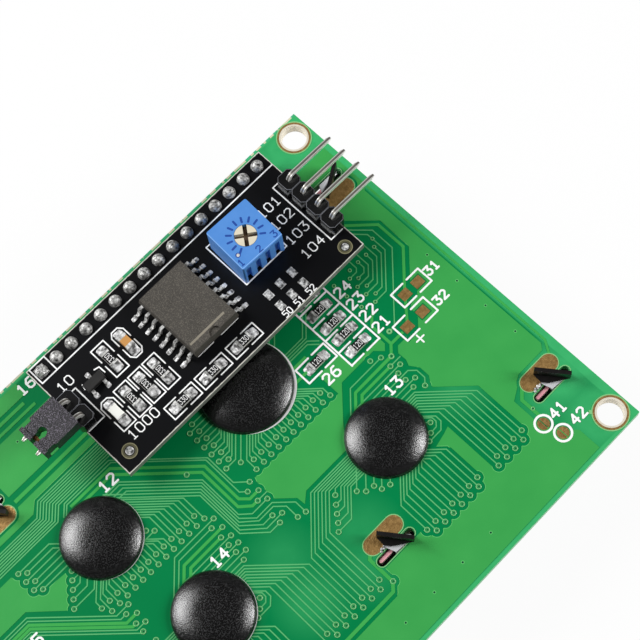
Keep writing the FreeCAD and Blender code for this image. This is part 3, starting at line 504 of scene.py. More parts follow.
def ribbon(points, width):
    """A line of even width with mitred bends."""
    spots = [Vector(p) for p in points]
    left = []
    right = []
    for i, spot in enumerate(spots):
        before = (spot - spots[i - 1]).normalized() if i > 0 else None
        after = (spots[i + 1] - spot).normalized() if i + 1 < len(spots) else None
        heading = ((before or after) + (after or before)).normalized()
        side = Vector((-heading.y, heading.x))
        lean = before or after
        reach = width / 2 / max(side.dot(Vector((-lean.y, lean.x))), 0.3)
        left.append(tuple(spot + side * reach))
        right.append(tuple(spot - side * reach))
    return right + left[::-1]


def rounded_bar(start, end, width, sides=6):
    """A straight bar with round ends."""
    a = Vector(start)
    b = Vector(end)
    angle = math.atan2(b.y - a.y, b.x - a.x)
    outline = []
    for centre, turn in ((b, -math.pi / 2), (a, math.pi / 2)):
        for i in range(sides + 1):
            at = angle + turn + math.pi * i / sides
            outline.append((centre.x + width / 2 * math.cos(at), centre.y + width / 2 * math.sin(at)))
    return outline


def frame_line(x0, y0, x1, y1, width, gaps=()):
    """A printed rectangle as strokes; gaps holds the open stretch of its two long sides along X."""
    strokes = [[(x0, y0), (x0, y1)], [(x1, y0), (x1, y1)]]
    for y in (y0, y1):
        if gaps:
            strokes += [[(x0, y), (gaps[0], y)], [(gaps[1], y), (x1, y)]]
        else:
            strokes.append([(x0, y), (x1, y)])
    return [rounded_bar(a, b, width) for a, b in strokes]


def along_line(points, width):
    """A drawn line of several strokes with round joints."""
    return [rounded_bar(a, b, width) for a, b in zip(points, points[1:])]


# strokes of the printed figures on a grid four wide and six high
FIGURES = {
    "0": [[(0, 1), (1, 0), (3, 0), (4, 1), (4, 5), (3, 6), (1, 6), (0, 5), (0, 1)]],
    "1": [[(0.8, 4.8), (2, 6), (2, 0)], [(0.8, 0), (3.2, 0)]],
    "2": [[(0, 5), (1, 6), (3, 6), (4, 5), (4, 4), (0, 0), (4, 0)]],
    "3": [[(0, 6), (4, 6), (2, 3.6), (3, 3.6), (4, 2.6), (4, 1), (3, 0), (1, 0), (0, 1)]],
    "4": [[(3, 0), (3, 6), (0, 2), (4, 2)]],
    "5": [[(4, 6), (0, 6), (0, 3.5), (3, 3.5), (4, 2.5), (4, 1), (3, 0), (0, 0)]],
    "6": [[(3.6, 6), (1.6, 6), (0, 4), (0, 1), (1, 0), (3, 0), (4, 1), (4, 2.4), (3, 3.4), (0, 3.4)]],
    "+": [[(0, 3), (4, 3)], [(2, 1), (2, 5)]],
}


def figures(text, x, y, height, stroke, turn=0.0, narrow=1.0):
    """Printed figures centred on a point."""
    unit = height / 6
    advance = 6 * unit
    start = -(len(text) * advance - 2 * unit) / 2
    cos = math.cos(math.radians(turn))
    sin = math.sin(math.radians(turn))
    bars = []
    for place, figure in enumerate(text):
        for line in FIGURES[figure]:
            flat = [((start + place * advance + a * unit) * narrow, (b - 3) * unit) for a, b in line]
            spun = [(x + a * cos - b * sin, y + a * sin + b * cos) for a, b in flat]
            bars += along_line(spun, stroke)
    return bars


# Pieces

def new_object(name, data):
    made = bpy.data.objects.new(name, data)
    bpy.context.scene.collection.objects.link(made)
    return made


def piece(name, points, faces, finish, body="module", smooth=False):
    """A mesh from points in millimetres that rides on a body."""
    mesh = bpy.data.meshes.new(name)
    mesh.from_pydata([tuple(c * MM for c in point) for point in points], [], faces)
    mesh.materials.append(finish.material)
    if smooth:
        mesh.polygons.foreach_set("use_smooth", [True] * len(mesh.polygons))
    mesh.validate()
    made = new_object(name, mesh)
    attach(made, body)
    return made


def counter_clockwise(outline):
    doubled = sum(a[0] * b[1] - b[0] * a[1] for a, b in zip(outline, outline[1:] + outline[:1]))
    return outline if doubled > 0 else outline[::-1]


def plates(name, shapes, cuts, z, thickness, finish, keep=None, body="module"):
    """Closed plates of one thickness over all the shapes together, less the cuts.
    keep says which regions stay, from the numbers of the outlines that cover them."""
    outlines = [counter_clockwise(list(o)) for o in list(shapes) + list(cuts)]
    spots = []
    loops = []
    for outline in outlines:
        loops.append(list(range(len(spots), len(spots) + len(outline))))
        spots += [Vector(p) for p in outline]
    made = delaunay_2d_cdt(spots, [], loops, 1, 1e-5)
    flat, triangles, sources = made[0], made[2], made[5]
    first_cut = len(shapes)

    def stays(covering):
        if keep:
            return keep(covering)
        return any(i < first_cut for i in covering) and not any(i >= first_cut for i in covering)

    kept = [t for t, covering in zip(triangles, sources) if stays(set(covering))]
    used = sorted(set(i for t in kept for i in t))
    index = {old: new for new, old in enumerate(used)}
    count = len(used)
    bottom = z - SUNK if thickness > 0 else z + SUNK
    points = [(flat[i].x, flat[i].y, z + thickness) for i in used]
    points += [(flat[i].x, flat[i].y, bottom) for i in used]
    edges = {}
    faces = []
    for t in kept:
        a, b, c = (index[i] for i in t)
        faces += [(a, b, c), (c + count, b + count, a + count)]
        for edge in ((a, b), (b, c), (c, a)):
            edges[edge] = True
    for a, b in edges:
        if (b, a) not in edges:
            faces.append((a, a + count, b + count, b))
    if thickness < 0:
        faces = [tuple(reversed(face)) for face in faces]
    return piece(name, points, faces, finish, body)


def turned(name, centres, profile, finish, sides=16, facing=1, body="module"):
    """Round pieces turned from a profile of radius and height, closed at the base, on centres x, y, z."""
    points = []
    faces = []
    for x, y, z in centres:
        start = len(points)
        for radius, height in profile:
            points += [(px, py, z + facing * height) for px, py in disc(x, y, radius, sides)]
        for level in range(len(profile) - 1):
            for i in range(sides):
                near = start + level * sides + i
                far = start + level * sides + (i + 1) % sides
                faces.append((near, far, far + sides, near + sides))
        top = start + (len(profile) - 1) * sides
        faces.append(tuple(range(top, top + sides)))
        faces.append(tuple(range(start + sides - 1, start - 1, -1)))
    if facing < 0:
        faces = [tuple(reversed(face)) for face in faces]
    return piece(name, points, faces, finish, body, smooth=True)


# Copper of the main board

# tracks and vias, gathered before they are cut to shape
TRACKS = []
VIAS = []

# small vias that are only a hole in the copper
STITCHES = [(-6.95, 23.6)] + [(x, -26.9) for x in (10.2, 15.2, 20.2, 25.2)]
STITCHES += [(46.35, y) for y in (3.3, -1.9, -6.8, -11.85)]


def track(points, width=THIN):
    TRACKS.append((points, width))


def via(x, y, radius=VIA_RADIUS):
    VIAS.append((x, y, radius))


def from_via(x, y, points, width=THIN):
    via(x, y)
    track([(x, y)] + points, width)


def edge_x(cover, y, side):
    """X just inside a cover's edge at that y."""
    x, middle_y, radius, _ = cover
    return x + side * (math.sqrt(max(radius ** 2 - (y - middle_y) ** 2, 0.0)) - UNDER_COVER)


def reach_cover(start, heading, cover):
    """The point just inside a cover where a straight run from start meets it."""
    offset = Vector(start) - Vector(cover[:2])
    run = Vector(heading).normalized()
    inner = cover[2] - UNDER_COVER
    middle = -offset.dot(run)
    root = middle ** 2 - offset.length_squared + inner ** 2
    length = middle - math.sqrt(max(root, 0.0))
    return tuple(Vector(start) + run * max(length, 0.1))


UP_LEFT = (-1, 1)
UP_RIGHT = (1, 1)
DOWN_LEFT = (-1, -1)
DOWN_RIGHT = (1, -1)
UPWARDS = (0, 1)
LEFTWARDS = (-1, 0)


def rows_below_left_cover():
    """Two staggered rows of vias below the left cover, with their tracks up into it."""
    pitch = 0.652
    first = -13.88
    turns = {0: 1.75, 1: 1.65, 2: 1.9, 3: 2.0, 4: 2.2, 15: 1.9, 16: 1.7, 17: 1.4}
    for i in range(26):
        x = first + pitch * i
        y = 0.7 if i % 2 == 0 else -0.42
        if i < 18:
            heading = UP_RIGHT if i < 5 else UPWARDS if i < 15 else UP_LEFT
            bend = (x, turns.get(i, 1.5))
        else:
            heading = UP_LEFT
            bend = (x, 4.6 - 0.19 * (i - 18))
        from_via(x, y, [bend, reach_cover(bend, heading, LEFT_COVER)])
    for x, y in ((-2.87, 2.93), (-3.6, 3.7)):
        from_via(x, y, [reach_cover((x, y), LEFTWARDS, LEFT_COVER)])


def vias_left_of_left_cover():
    """The column of vias on the left of that cover and the slanted row below it."""
    for i in range(6):
        x = -18.1 if i % 2 == 0 else -17.25
        y = 11.18 - 0.715 * i
        bend = (-13.0, y)
        from_via(x, y, [bend, reach_cover(bend, DOWN_RIGHT if i < 2 else (1, 0), LEFT_COVER)])
    for i in range(5):
        x = -13.3 - 0.74 * i
        y = 6.7 - 0.9 * i
        bend = (max(x + 0.2, -14.3 + 0.35 * i), y)
        from_via(x, y, [bend, reach_cover(bend, UP_RIGHT if i > 1 else (1, 0), LEFT_COVER)])


def lines_under_backpack_corner():
    """Diagonals from the left cover's right side, and the long verticals that they turn into."""
    sums = (6.05, 6.62, 7.18, 7.75, 8.33, 8.85)
    levels = (None, None, 9.05, 9.65, 10.25, 10.62)
    ends = (
        [(4.1, -4.9), (6.8, -7.5), (8.45, -7.5)], [(4.42, -4.6), (6.85, -6.85), (9.5, -6.85)],
        [(4.7, -4.15), (6.85, -6.2), (8.45, -6.2)],
        [(5.03, -3.85), (6.85, -5.5), (9.3, -5.5), (10.45, -6.65), (10.45, -8.6)],
        [(5.35, -3.5), (6.9, -5.05), (9.55, -5.05), (11.6, -7.1), (11.6, -8.85)],
        [(5.65, -3.1), (6.9, -4.28), (9.5, -4.28)],
    )
    for i, (total, level, end) in enumerate(zip(sums, levels, ends)):
        x = 4.05 + 0.32 * i
        bend = (x, total - x)
        if level:
            start = [(edge_x(LEFT_COVER, level, 1), level), (total - level, level)]
        else:
            start = [reach_cover(bend, UP_LEFT, LEFT_COVER)]
        track(start + [bend] + end)
        via(*end[-1])
    track([(-9.0, 11.9), (-1.7, 11.9), (6.3, 3.9), (6.3, -2.4), (7.6, -3.6), (8.5, -3.6)], WIDE)
    track([(8.5, -3.6), (10.1, -3.6)])
    start = (-1.32, 12.62)
    track([reach_cover(start, LEFTWARDS, LEFT_COVER), start, (7.05, 4.25), (7.05, -1.75), (8.0, -2.75),
           (9.5, -2.75)], WIDE)
    track([(-9.15, 12.15), (-8.15, 13.15), (-0.7, 13.1), (7.7, 4.7), (7.7, -1.2), (8.45, -1.9)])
    track([(-9.5, 12.25), (-8.26, 13.49), (-0.7, 13.5), (8.05, 4.75), (8.05, 0.2), (9.5, -1.2)])
    for spot in ((8.5, -3.6), (9.5, -2.75), (8.45, -1.9), (9.5, -1.2), (4.75, 5.1)):
        via(*spot)


def vias_left_of_big_cover():
    """Staggered column between the long verticals and the big cover."""
    bends = (None, None, None, None, None, 11.3, 11.0, 10.9, 10.8, 10.5, 10.3, 10.3)
    for i, bend_x in enumerate(bends):
        x = 9.7 if i % 2 == 0 else 8.68
        y = 9.25 - 0.652 * i
        if bend_x:
            bend = (bend_x, y)
            from_via(x, y, [bend, reach_cover(bend, UP_RIGHT, BIG_COVER)])
        else:
            from_via(x, y, [reach_cover((x, y), (1, 0), BIG_COVER)])
    from_via(10.48, 1.33, [reach_cover((10.48, 1.33), UP_RIGHT, BIG_COVER)])


def rows_below_big_cover():
    """Two staggered rows below the big cover."""
    for i in range(21):
        x = 11.2 + 0.655 * i
        y = -0.7 if i % 2 == 0 else 0.42
        if i < 6:
            heading = UP_RIGHT
            bend = (x, 1.0 + 0.14 * i)
        elif i < 14:
            heading = UPWARDS
            bend = (x, 1.2)
        else:
            heading = UP_LEFT
            bend = (x, 1.9 - 0.22 * (i - 14))
        from_via(x, y, [bend, reach_cover(bend, heading, BIG_COVER)])


def fan_above_right(cover, shift, left_out=()):
    """Vias beside a driver's upper right, each with a track left into its cover."""
    columns = (3.2, 2.17)
    levels = (-1.25, -1.93, -2.78, -3.58, -4.28, -4.93, -5.55, -6.18, -6.85, -7.53)
    turns = (-3.5, -3.4, -3.35, -3.0)
    for i, y in enumerate(levels):
        if i in left_out:
            continue
        x = columns[i % 2] + shift
        width = WIDE if i in (2, 3) else THIN
        if i < len(turns):
            bend = (turns[i] + shift, y)
            from_via(x, y, [bend, reach_cover(bend, DOWN_LEFT, cover)], width)
        else:
            from_via(x, y, [reach_cover((x, y), LEFTWARDS, cover)], width)


def fan_right(cover, first_via, first_x, first_y):
    """Tracks from a cover's right side that slope down to a double row of vias by the lower tabs."""
    for i in range(8):
        level = first_y - 0.32 * i
        start = (edge_x(cover, level, 1), level)
        bend = (first_x - 0.21 * i, level)
        x = first_via - 0.752 * i
        lower = (x, level - (x - bend[0]))
        end = (x, -21.05 if i % 2 == 0 else -22.0)
        track([start, bend, lower, end])
        via(*end)


def fan_below(cover, first_x):
    """Tracks straight down from a cover's underside to the double row."""
    for i in range(13):
        x = first_x + 0.75 * i
        offset = i - 8
        turn = -15.1 - 0.21 * abs(offset) if offset else -14.6
        bend = (x, turn)
        heading = UP_RIGHT if offset < 0 else UPWARDS if offset == 0 else UP_LEFT
        end = (x, -21.1 if i % 2 == 0 else -22.0)
        from_via(*end, [bend, reach_cover(bend, heading, cover)])


def bundle_left_of_right_cover():
    """Level lines from the right cover's left side that slope down to the double row."""
    for i in range(6):
        level = -7.64 - 0.3 * i
        bend = (13.7 + 0.34 * i, level)
        x = 8.0 + 0.75 * i
        lower = (x, level - (bend[0] - x))
        end = (x, -22.0 if i % 2 == 0 else -21.1)
        track([(edge_x(RIGHT_COVER, level, -1), level), bend, lower, end])
        via(*end)
    inner = ((16.17, -9.44, 15.56, -10.03), (16.83, -9.76, 14.76, -10.93), (17.11, -10.07, 14.02, -11.81),
             (17.38, -10.37, 13.32, -12.69), (17.65, -10.67, 12.56, -13.51))
    for bend_x, level, x, y in inner:
        lower = (bend_x - (level - y), y)
        from_via(x, y, [lower, (bend_x, level), (edge_x(RIGHT_COVER, level, -1), level)])
    for spot in ((17.72, -11.6), (18.5, -12.44), (19.67, -12.67), (20.05, -13.64), (21.17, -14.0)):
        from_via(*spot, [reach_cover(spot, UP_RIGHT, RIGHT_COVER)])


def spiral_below_right(cover, shift):
    """Three vias at a driver's lower right and the lines that wrap round them."""
    for x, y in ((30.3, -12.2), (29.35, -13.15), (28.45, -13.75)):
        via(x + shift, y)
    outer = [(28.45, -13.8), (30.5, -13.8), (31.35, -13.0), (31.35, -12.1)]
    inner = [(29.35, -13.15), (30.4, -13.1), (30.9, -12.6), (30.9, -11.95)]
    for points in (outer, inner):
        moved = [(x + shift, y) for x, y in points]
        track(moved + [reach_cover(moved[-1], UP_LEFT, cover)])
    spot = (30.3 + shift, -12.2)
    track([spot, reach_cover(spot, UP_LEFT, cover)])


def right_driver_lines():
    """What the right driver has besides the fans that both have."""
    for spot in ((33.28, -2.72), (35.48, -0.3), (30.97, -1.27)):
        via(*spot)
    track([(35.6, 2.9), (34.45, 1.75), (34.45, -1.55), (33.28, -2.72), (26.7, -2.78)], WIDE)
    track([(34.45, -1.6), (36.6, -1.6)], WIDE)
    track([(32.28, -3.57), (34.05, -3.57)])
    track([(28.0, -5.55), (33.3, -5.55), (34.1, -6.35), (34.1, -7.7), (33.35, -8.45)])
    via(33.35, -8.45)


def left_bundles():
    """Diagonals between the left covers."""
    ends = ((6.5, -21.0, -1.25, -11.3), (6.1, -21.2, -1.92, -12.3), (5.65, -21.4, -2.75, -11.3),
            (5.2, -21.6, -3.6, -12.25), (4.85, -21.8, -4.25, -11.3), (4.5, -22.0, -4.9, -12.3))
    for i, (level, bend_x, end_y, end_x) in enumerate(ends):
        lower = (bend_x + level - end_y, end_y)
        width = WIDE if i in (2, 3) else THIN
        track([(BOARD_LOW.x + 10.0, level), (bend_x, level), lower, (end_x, end_y)], width)
        via(end_x, end_y)
    for i in range(4):
        level = -7.6 - 0.3 * i
        end_x = -22.0 + 1.1 * i
        end = (end_x, level - end_x - 22.0)
        track([(edge_x(MIDDLE_COVER, level, -1), level), (-15.0, level), end])
        via(*end)


def lines_above_left_cover():
    """Level lines over the left cover that step up on their way right."""
    for i in range(8):
        raised = 16.11 - 0.318 * i
        level = raised - 1.51
        step = -10.35 + 0.214 * i
        track([(BOARD_LOW.x + 8.0, level), (step - 1.51, level), (step, raised), (1.5, raised)])
    track([(-12.4, 18.1), (2.0, 18.1)], 0.5)
    track([(BOARD_LOW.x + 2.5, 17.75), (-19.5, 17.75)], 0.45)
    track([(BOARD_LOW.x + 2.5, 26.75), (-3.0, 26.75)], 0.45)
    track([(BOARD_LOW.x + 2.5, 25.7), (-2.0, 25.7)], 0.4)


def arcs_beside_backpack():
    """Lines that come out of the backpack's corner and turn in towards the resistors."""
    track([(41.8, 14.1), (45.1, 10.8), (45.1, 6.35), (40.5, 1.75)], WIDE)
    track([(40.47, 1.65), (37.5, -1.55)], WIDE)
    track([(41.0, 14.1), (44.03, 10.8)])
    track([(41.0, 13.3), (43.15, 10.85), (43.17, 10.0)])
    lines = (
        (44.03, 7.3, -0.3, 35.48, 10.9), (43.17, 7.75, 3.75, 37.15, 10.0), (42.5, 7.8, 4.5, 38.0, 9.05),
        (41.77, 7.9, 5.3, 37.1, 11.5), (41.0, 7.9, 6.05, 38.0, 9.05), (40.2, 7.9, 6.8, 37.05, 11.5),
        (39.55, 8.05, 7.55, 38.0, 9.1), (38.83, 8.7, 8.3, 37.2, 11.0),
    )
    for i, (x, bend_y, end_y, end_x, top_y) in enumerate(lines):
        lower = (x - (bend_y - end_y), end_y)
        track([(x, top_y), (x, bend_y), lower, (end_x, end_y)])
        via(end_x, end_y, SMALL_VIA)
        if i in (1, 2, 4, 6):
            via(x, top_y, SMALL_VIA)
    for spot in ((38.0, 9.1), (35.1, 9.1), (35.2, 6.9), (35.45, 4.55)):
        via(*spot, SMALL_VIA)


def lines_right_of_big_cover():
    """Short lines between the big cover and the resistors."""
    for level, turn_x, rise in ((7.1, 27.3, 2.5), (6.75, 27.6, 2.5), (6.4, 27.4, -1.1), (6.05, 27.1, -1.1)):
        start = (edge_x(BIG_COVER, level, 1), level)
        track([start, (turn_x, level), (turn_x + abs(rise), level + rise)])
    for i in range(4):
        start = (22.5 + 0.45 * i, 10.2 - 0.5 * i)
        track([start, (start[0] + 2.4, start[1] + 2.4)])
    track([(22.6, 5.05), (25.8, 5.05)], WIDE)
    track([(21.5, 3.55), (24.6, 3.55)], WIDE)


def board_edge_lines():
    """Lines along the right and lower edges, and the small stray vias."""
    track([(48.05, 15.6), (48.05, -15.3), (47.1, -16.8), (44.5, -17.2)], 0.3)
    track([(41.4, -17.4), (40.2, -18.5), (40.2, -21.6)], 0.45)
    track([(BOARD_LOW.x + 3.0, -23.3), (11.85, -23.3), (12.7, -22.4), (12.7, -18.6), (13.9, -17.6)], 0.45)
    via(12.75, -22.4)
    via(40.3, -20.2, SMALL_VIA)
    via(-11.95, -6.75)


def far_driver_lines():
    """The cut off driver on the left, finished like the others."""
    x, y, radius, _ = FAR_COVER
    for i in range(18):
        column = x - 5.6 + 0.66 * i
        end = (column, y - 8.6 if i % 2 == 0 else y - 9.6)
        offset = i - 8.5
        turn = y - radius - 0.5 - 0.15 * abs(offset)
        heading = UPWARDS if abs(offset) < 4 else UP_RIGHT if offset < 0 else UP_LEFT
        from_via(*end, [(column, turn), reach_cover((column, turn), heading, FAR_COVER)])
    for i in range(10):
        level = y + 3.2 - 0.7 * i
        end = (x - 9.5 - (0.9 if i % 2 else 0.0), level)
        from_via(*end, [(edge_x(FAR_COVER, level, -1), level)])


# Wide areas of copper: outlines only, since tracks and vias cut their own clearance.
POUR_LEFT = BOARD_LOW.x + 1.0
POURS = [
    [(10.1, -1.3), (25.15, -1.3), (25.15, 2.2), (33.9, 2.2), (33.9, -1.0), (33.2, -1.7), (32.2, -0.6),
     (26.5, -0.6), (22.9, -4.3), (20.5, -7.05), (13.5, -7.05), (12.2, -8.1), (12.1, -6.9), (10.1, -4.9)],
    [(34.85, -2.4), (36.1, -2.4), (36.1, -3.1), (38.0, -2.95), (39.32, -1.66), (39.6, -0.93),
     (39.5, -0.35), (40.02, 0.23), (41.45, 0.43), (42.04, 1.04), (42.34, 2.55), (43.3, 3.5), (45.6, 5.8),
     (45.7, 11.0), (41.9, 15.0), (41.9, 23.5), (48.15, 23.5), (48.15, 16.2), (47.4, 15.4), (47.4, -15.2),
     (46.8, -15.95), (42.3, -15.95), (41.5, -16.7), (39.4, -17.9), (39.4, -22.6), (37.9, -22.6),
     (37.9, -13.3), (33.9, -9.3), (33.9, -8.9), (34.65, -7.9), (34.65, -6.4), (33.85, -5.2),
     (34.2, -4.4), (34.15, -3.1)],
    [(37.8, -20.9), (39.4, -20.0), (39.4, -23.2), (36.0, -23.2), (36.0, -22.2)],
    rectangle(28.2, -23.2, 31.6, -21.6),
    [(28.4, -14.85), (29.7, -16.2), (29.7, -22.6), (31.4, -22.6), (31.4, -14.1), (30.4, -14.4)],
    [(POUR_LEFT, -29.4), (42.2, -29.4), (42.2, -26.2), (39.2, -22.4), (13.4, -22.4), (12.6, -23.3),
     (11.8, -24.0), (POUR_LEFT, -24.0)],
    [(13.3, -22.5), (20.6, -22.5), (19.5, -21.5), (19.4, -20.7), (13.2, -20.7)],
    [(POUR_LEFT, 11.5), (POUR_LEFT, 7.1), (-20.6, 7.1), (-16.3, 2.9), (-13.2, 7.0), (-17.0, 7.3),
     (-19.0, 11.5)],
    rectangle(POUR_LEFT, 27.5, -2.0, 29.4),
    rectangle(-12.5, 19.12, 1.0, 24.9),
    rectangle(POUR_LEFT, 21.0, -20.0, 24.9),
    [(POUR_LEFT, 16.3), (-13.3, 16.3), (-12.55, 17.35), (1.5, 17.35), (1.5, 16.5), (-10.5, 16.5),
     (-11.8, 15.3), (POUR_LEFT, 15.3)],
    rectangle(POUR_LEFT + 1.5, -14.0, -38.9, 3.4),
    [(-20.5, -5.9), (-13.0, -13.4), (-13.0, -20.3), (-20.5, -20.3)],
]


def copper(name, shapes, cuts, thickness, finish, keep=None):
    plates(name, shapes, cuts, BOARD_TOP, thickness, finish, keep)


def etch_main_board():
    """All copper on the back of the main board."""
    rows_below_left_cover()
    vias_left_of_left_cover()
    lines_under_backpack_corner()
    vias_left_of_big_cover()
    rows_below_big_cover()
    driver_step = RIGHT_COVER[0] - MIDDLE_COVER[0]
    fan_above_right(MIDDLE_COVER, 0.0)
    fan_above_right(RIGHT_COVER, driver_step, (0, 6))
    fan_right(MIDDLE_COVER, 7.28, 1.65, -8.05)
    fan_right(RIGHT_COVER, 37.3, 31.8, -8.1)
    fan_below(RIGHT_COVER, 20.15)
    fan_below(MIDDLE_COVER, -9.9)
    bundle_left_of_right_cover()
    spiral_below_right(RIGHT_COVER, 0.0)
    spiral_below_right(MIDDLE_COVER, -driver_step)
    right_driver_lines()
    left_bundles()
    lines_above_left_cover()
    arcs_beside_backpack()
    lines_right_of_big_cover()
    board_edge_lines()
    far_driver_lines()
    openings = slot_openings(0.25)
    thin = [ribbon(points, width) for points, width in TRACKS if width <= THIN]
    wide = [ribbon(points, width) for points, width in TRACKS if width > THIN]
    gaps = clearances(0.0) + openings + at_holes(RING_CLEARANCE, 32) + slot_pads(0.42)
    gaps += unfitted_pads(PAD_CLEARANCE) + CLEARED_FRAMES
    holes = [disc(x, y, radius - 0.05) for x, y, radius in VIAS]
    copper("copper_pours", POURS, gaps, COPPER, POUR_GREEN)
    copper("copper_tracks", thin, holes + openings + wide, COPPER, TRACK_GREEN)
    copper("wide_tracks", wide, holes + openings, COPPER, WIDE_GREEN)
    # pale lines along the pours' edges: a painted highlight of their sloped edges
    near = clearances(EDGE_LINE)
    first_near = len(POURS)
    first_gap = first_near + len(near)

    def at_edge(covering):
        return (min(covering, default=first_gap) < first_near and max(covering) < first_gap
                and any(i >= first_near for i in covering))

    copper("pour_edge_highlights", POURS + near, gaps, COPPER + 0.006, EDGE_HIGHLIGHT_GREEN, at_edge)
    for name, size in (("copper_vias", VIA_RADIUS), ("small_vias", SMALL_VIA)):
        inner = size - VIA_RING
        profile = ((size, -SUNK), (size - 0.03, 0.05), (size - 0.06, 0.062), (inner + 0.02, 0.05),
                   (inner, -SUNK))
        centres = [(x, y, BOARD_TOP) for x, y, radius in VIAS if radius == size]
        turned(name, centres, profile, VIA_GREEN, 14)
    plugs = [disc(x, y, radius - VIA_RING + 0.02, 12) for x, y, radius in VIAS]
    # dark discs, a little off centre, in the via holes: painted shade of the holes
    bores = [disc(x + 0.03, y - 0.03, VIA_BORE, 10) for x, y, radius in VIAS]
    copper("via_plugs", plugs, bores, COPPER, PLUG_GREEN)
    copper("via_bore_shade", bores, [], COPPER - 0.01, BORE_SHADE_GREEN)
    stitches = [disc(x, y, 0.14, 10) for x, y in STITCHES]
    # dark discs in the small vias' holes: painted shade
    copper("stitch_bore_shade", stitches, [], COPPER + 0.01, BORE_SHADE_GREEN)
    # pale lips round the small vias: a painted highlight of the copper's sloped edge
    lips = [disc(x, y, 0.22, 12) for x, y in STITCHES]
    copper("stitch_lips", lips, stitches, COPPER + 0.008, EDGE_HIGHLIGHT_GREEN)


def clearances(more):
    """Outlines of the bare strips round tracks and vias, wider on each side by a little more."""
    strips = [ribbon(points, width + 2 * (TRACK_GAP + more)) for points, width in TRACKS]
    return strips + [disc(x, y, radius + VIA_GAP + more) for x, y, radius in VIAS]


def at_holes(radius, sides=40):
    """Discs of that radius round the four fixing holes."""
    holes = next(m["dims"] for m in frame["record"]["mounts"] if m["name"] == "board_holes")
    half_x = holes["spacing_x_mm"] / 2
    half_y = holes["spacing_y_mm"] / 2
    return [disc(sx * half_x, sy * half_y, radius, sides) for sx in (-1, 1) for sy in (-1, 1)]


# radii round a fixing hole
HOLE_MOUTH = 1.72
BARREL = 1.97
RING_BORE = 1.95
RING = 2.25
RING_RIM = 2.4
RING_CLEARANCE = 2.75

# frames of the two lowest resistors, which stand clear of the copper
CLEARED_FRAMES = [rectangle(23.65, 2.3, 28.55, 4.65), rectangle(29.0, 0.05, 33.9, 2.3)]

# pads of two unfitted parts, and two test pads
UNFITTED_PADS = ((40.47, 1.65), (42.8, 1.65), (37.5, -1.55), (40.3, -1.55))
PAD_WIDTH = 1.5
PAD_HEIGHT = 1.3
PAD_CLEARANCE = 0.15
TEST_SPOTS = ((39.75, -22.45), (40.55, -24.95))
TEST_PAD = 0.8
TEST_RING = 1.25
TEST_RING_BORE = 0.95

# slots that the bezel's tabs come through
TAB_XS = (-44.3, -16.0, 16.0, 44.3)
SLOT_LENGTH = 6.1
SLOT_WIDTH = 1.24
SLOT_Y = 19.815


# bare pads between the slots and the middle of the board
SLOT_PAD_LENGTH = 6.0
SLOT_PAD_WIDTH = 2.3
SLOT_PAD_Y = SLOT_Y - 2.15


def slot_openings(margin):
    """Outlines of the eight slots, with a margin all round."""
    half = (SLOT_LENGTH - SLOT_WIDTH) / 2
    return [rounded_bar((x - half, side * SLOT_Y), (x + half, side * SLOT_Y), SLOT_WIDTH + 2 * margin)
            for x in TAB_XS for side in (-1, 1)]


def slot_pads(margin):
    """Outlines of the bare pads beside the slots, with a margin all round."""
    half = (SLOT_PAD_LENGTH - SLOT_PAD_WIDTH) / 2
    return [rounded_bar((x - half, side * SLOT_PAD_Y), (x + half, side * SLOT_PAD_Y),
                        SLOT_PAD_WIDTH + 2 * margin, 10)
            for x in TAB_XS for side in (-1, 1)]


def centred(x, y, width, height):
    return rectangle(x - width / 2, y - height / 2, x + width / 2, y + height / 2)


def unfitted_pads(margin):
    return [centred(x, y, PAD_WIDTH + 2 * margin, PAD_HEIGHT + 2 * margin) for x, y in UNFITTED_PADS]


def test_discs(radius, sides=28):
    return [disc(x, y, radius, sides) for x, y in TEST_SPOTS]


def bare_metal_of_main_board():
    """Rings round the holes, pads beside the slots, pads of the unfitted parts and the two test rings."""
    openings = slot_openings(0.03)
    pads = at_holes(RING) + slot_pads(0.0) + unfitted_pads(0.0) + test_discs(TEST_PAD, 20)
    splits = [centred(x, y, 0.12, 1.8) for x, y in TEST_SPOTS]
    tails = [ribbon([(45.3, -26.1), (44.7, -25.5)], 0.5), ribbon([(46.4, -29.0), (46.3, -29.7)], 0.5)]
    plates("bare_pads", pads, at_holes(RING_BORE) + openings + splits, BOARD_TOP, 0.05, BARE_PAD)
    plates("hole_plating", at_holes(BARREL), at_holes(HOLE_MOUTH),
           BOARD_LOW.z, BOARD_TOP - BOARD_LOW.z + 0.055, CREAM_PLATING)
    rims = at_holes(RING_RIM) + tails + slot_pads(0.12) + slot_openings(0.14)
    inner = at_holes(RING) + slot_pads(0.0)
    copper("pad_rims", rims, inner + openings, 0.045, VIA_GREEN)


def header_rings():
    """Plated rings of the header on the front side of the main board."""
    profile = ((0.95, -SUNK), (0.95, 0.04), (0.5, 0.05))
    centres = [(x, y, BOARD_LOW.z) for x, y in HEADER]
    turned("front_header_rings", centres, profile, TINNED_PAD, 20, -1)


def white_print(name, shapes, cuts=(), z=BOARD_TOP + COPPER):
    plates(name, shapes, cuts, z, PRINT, WHITE_PRINT)


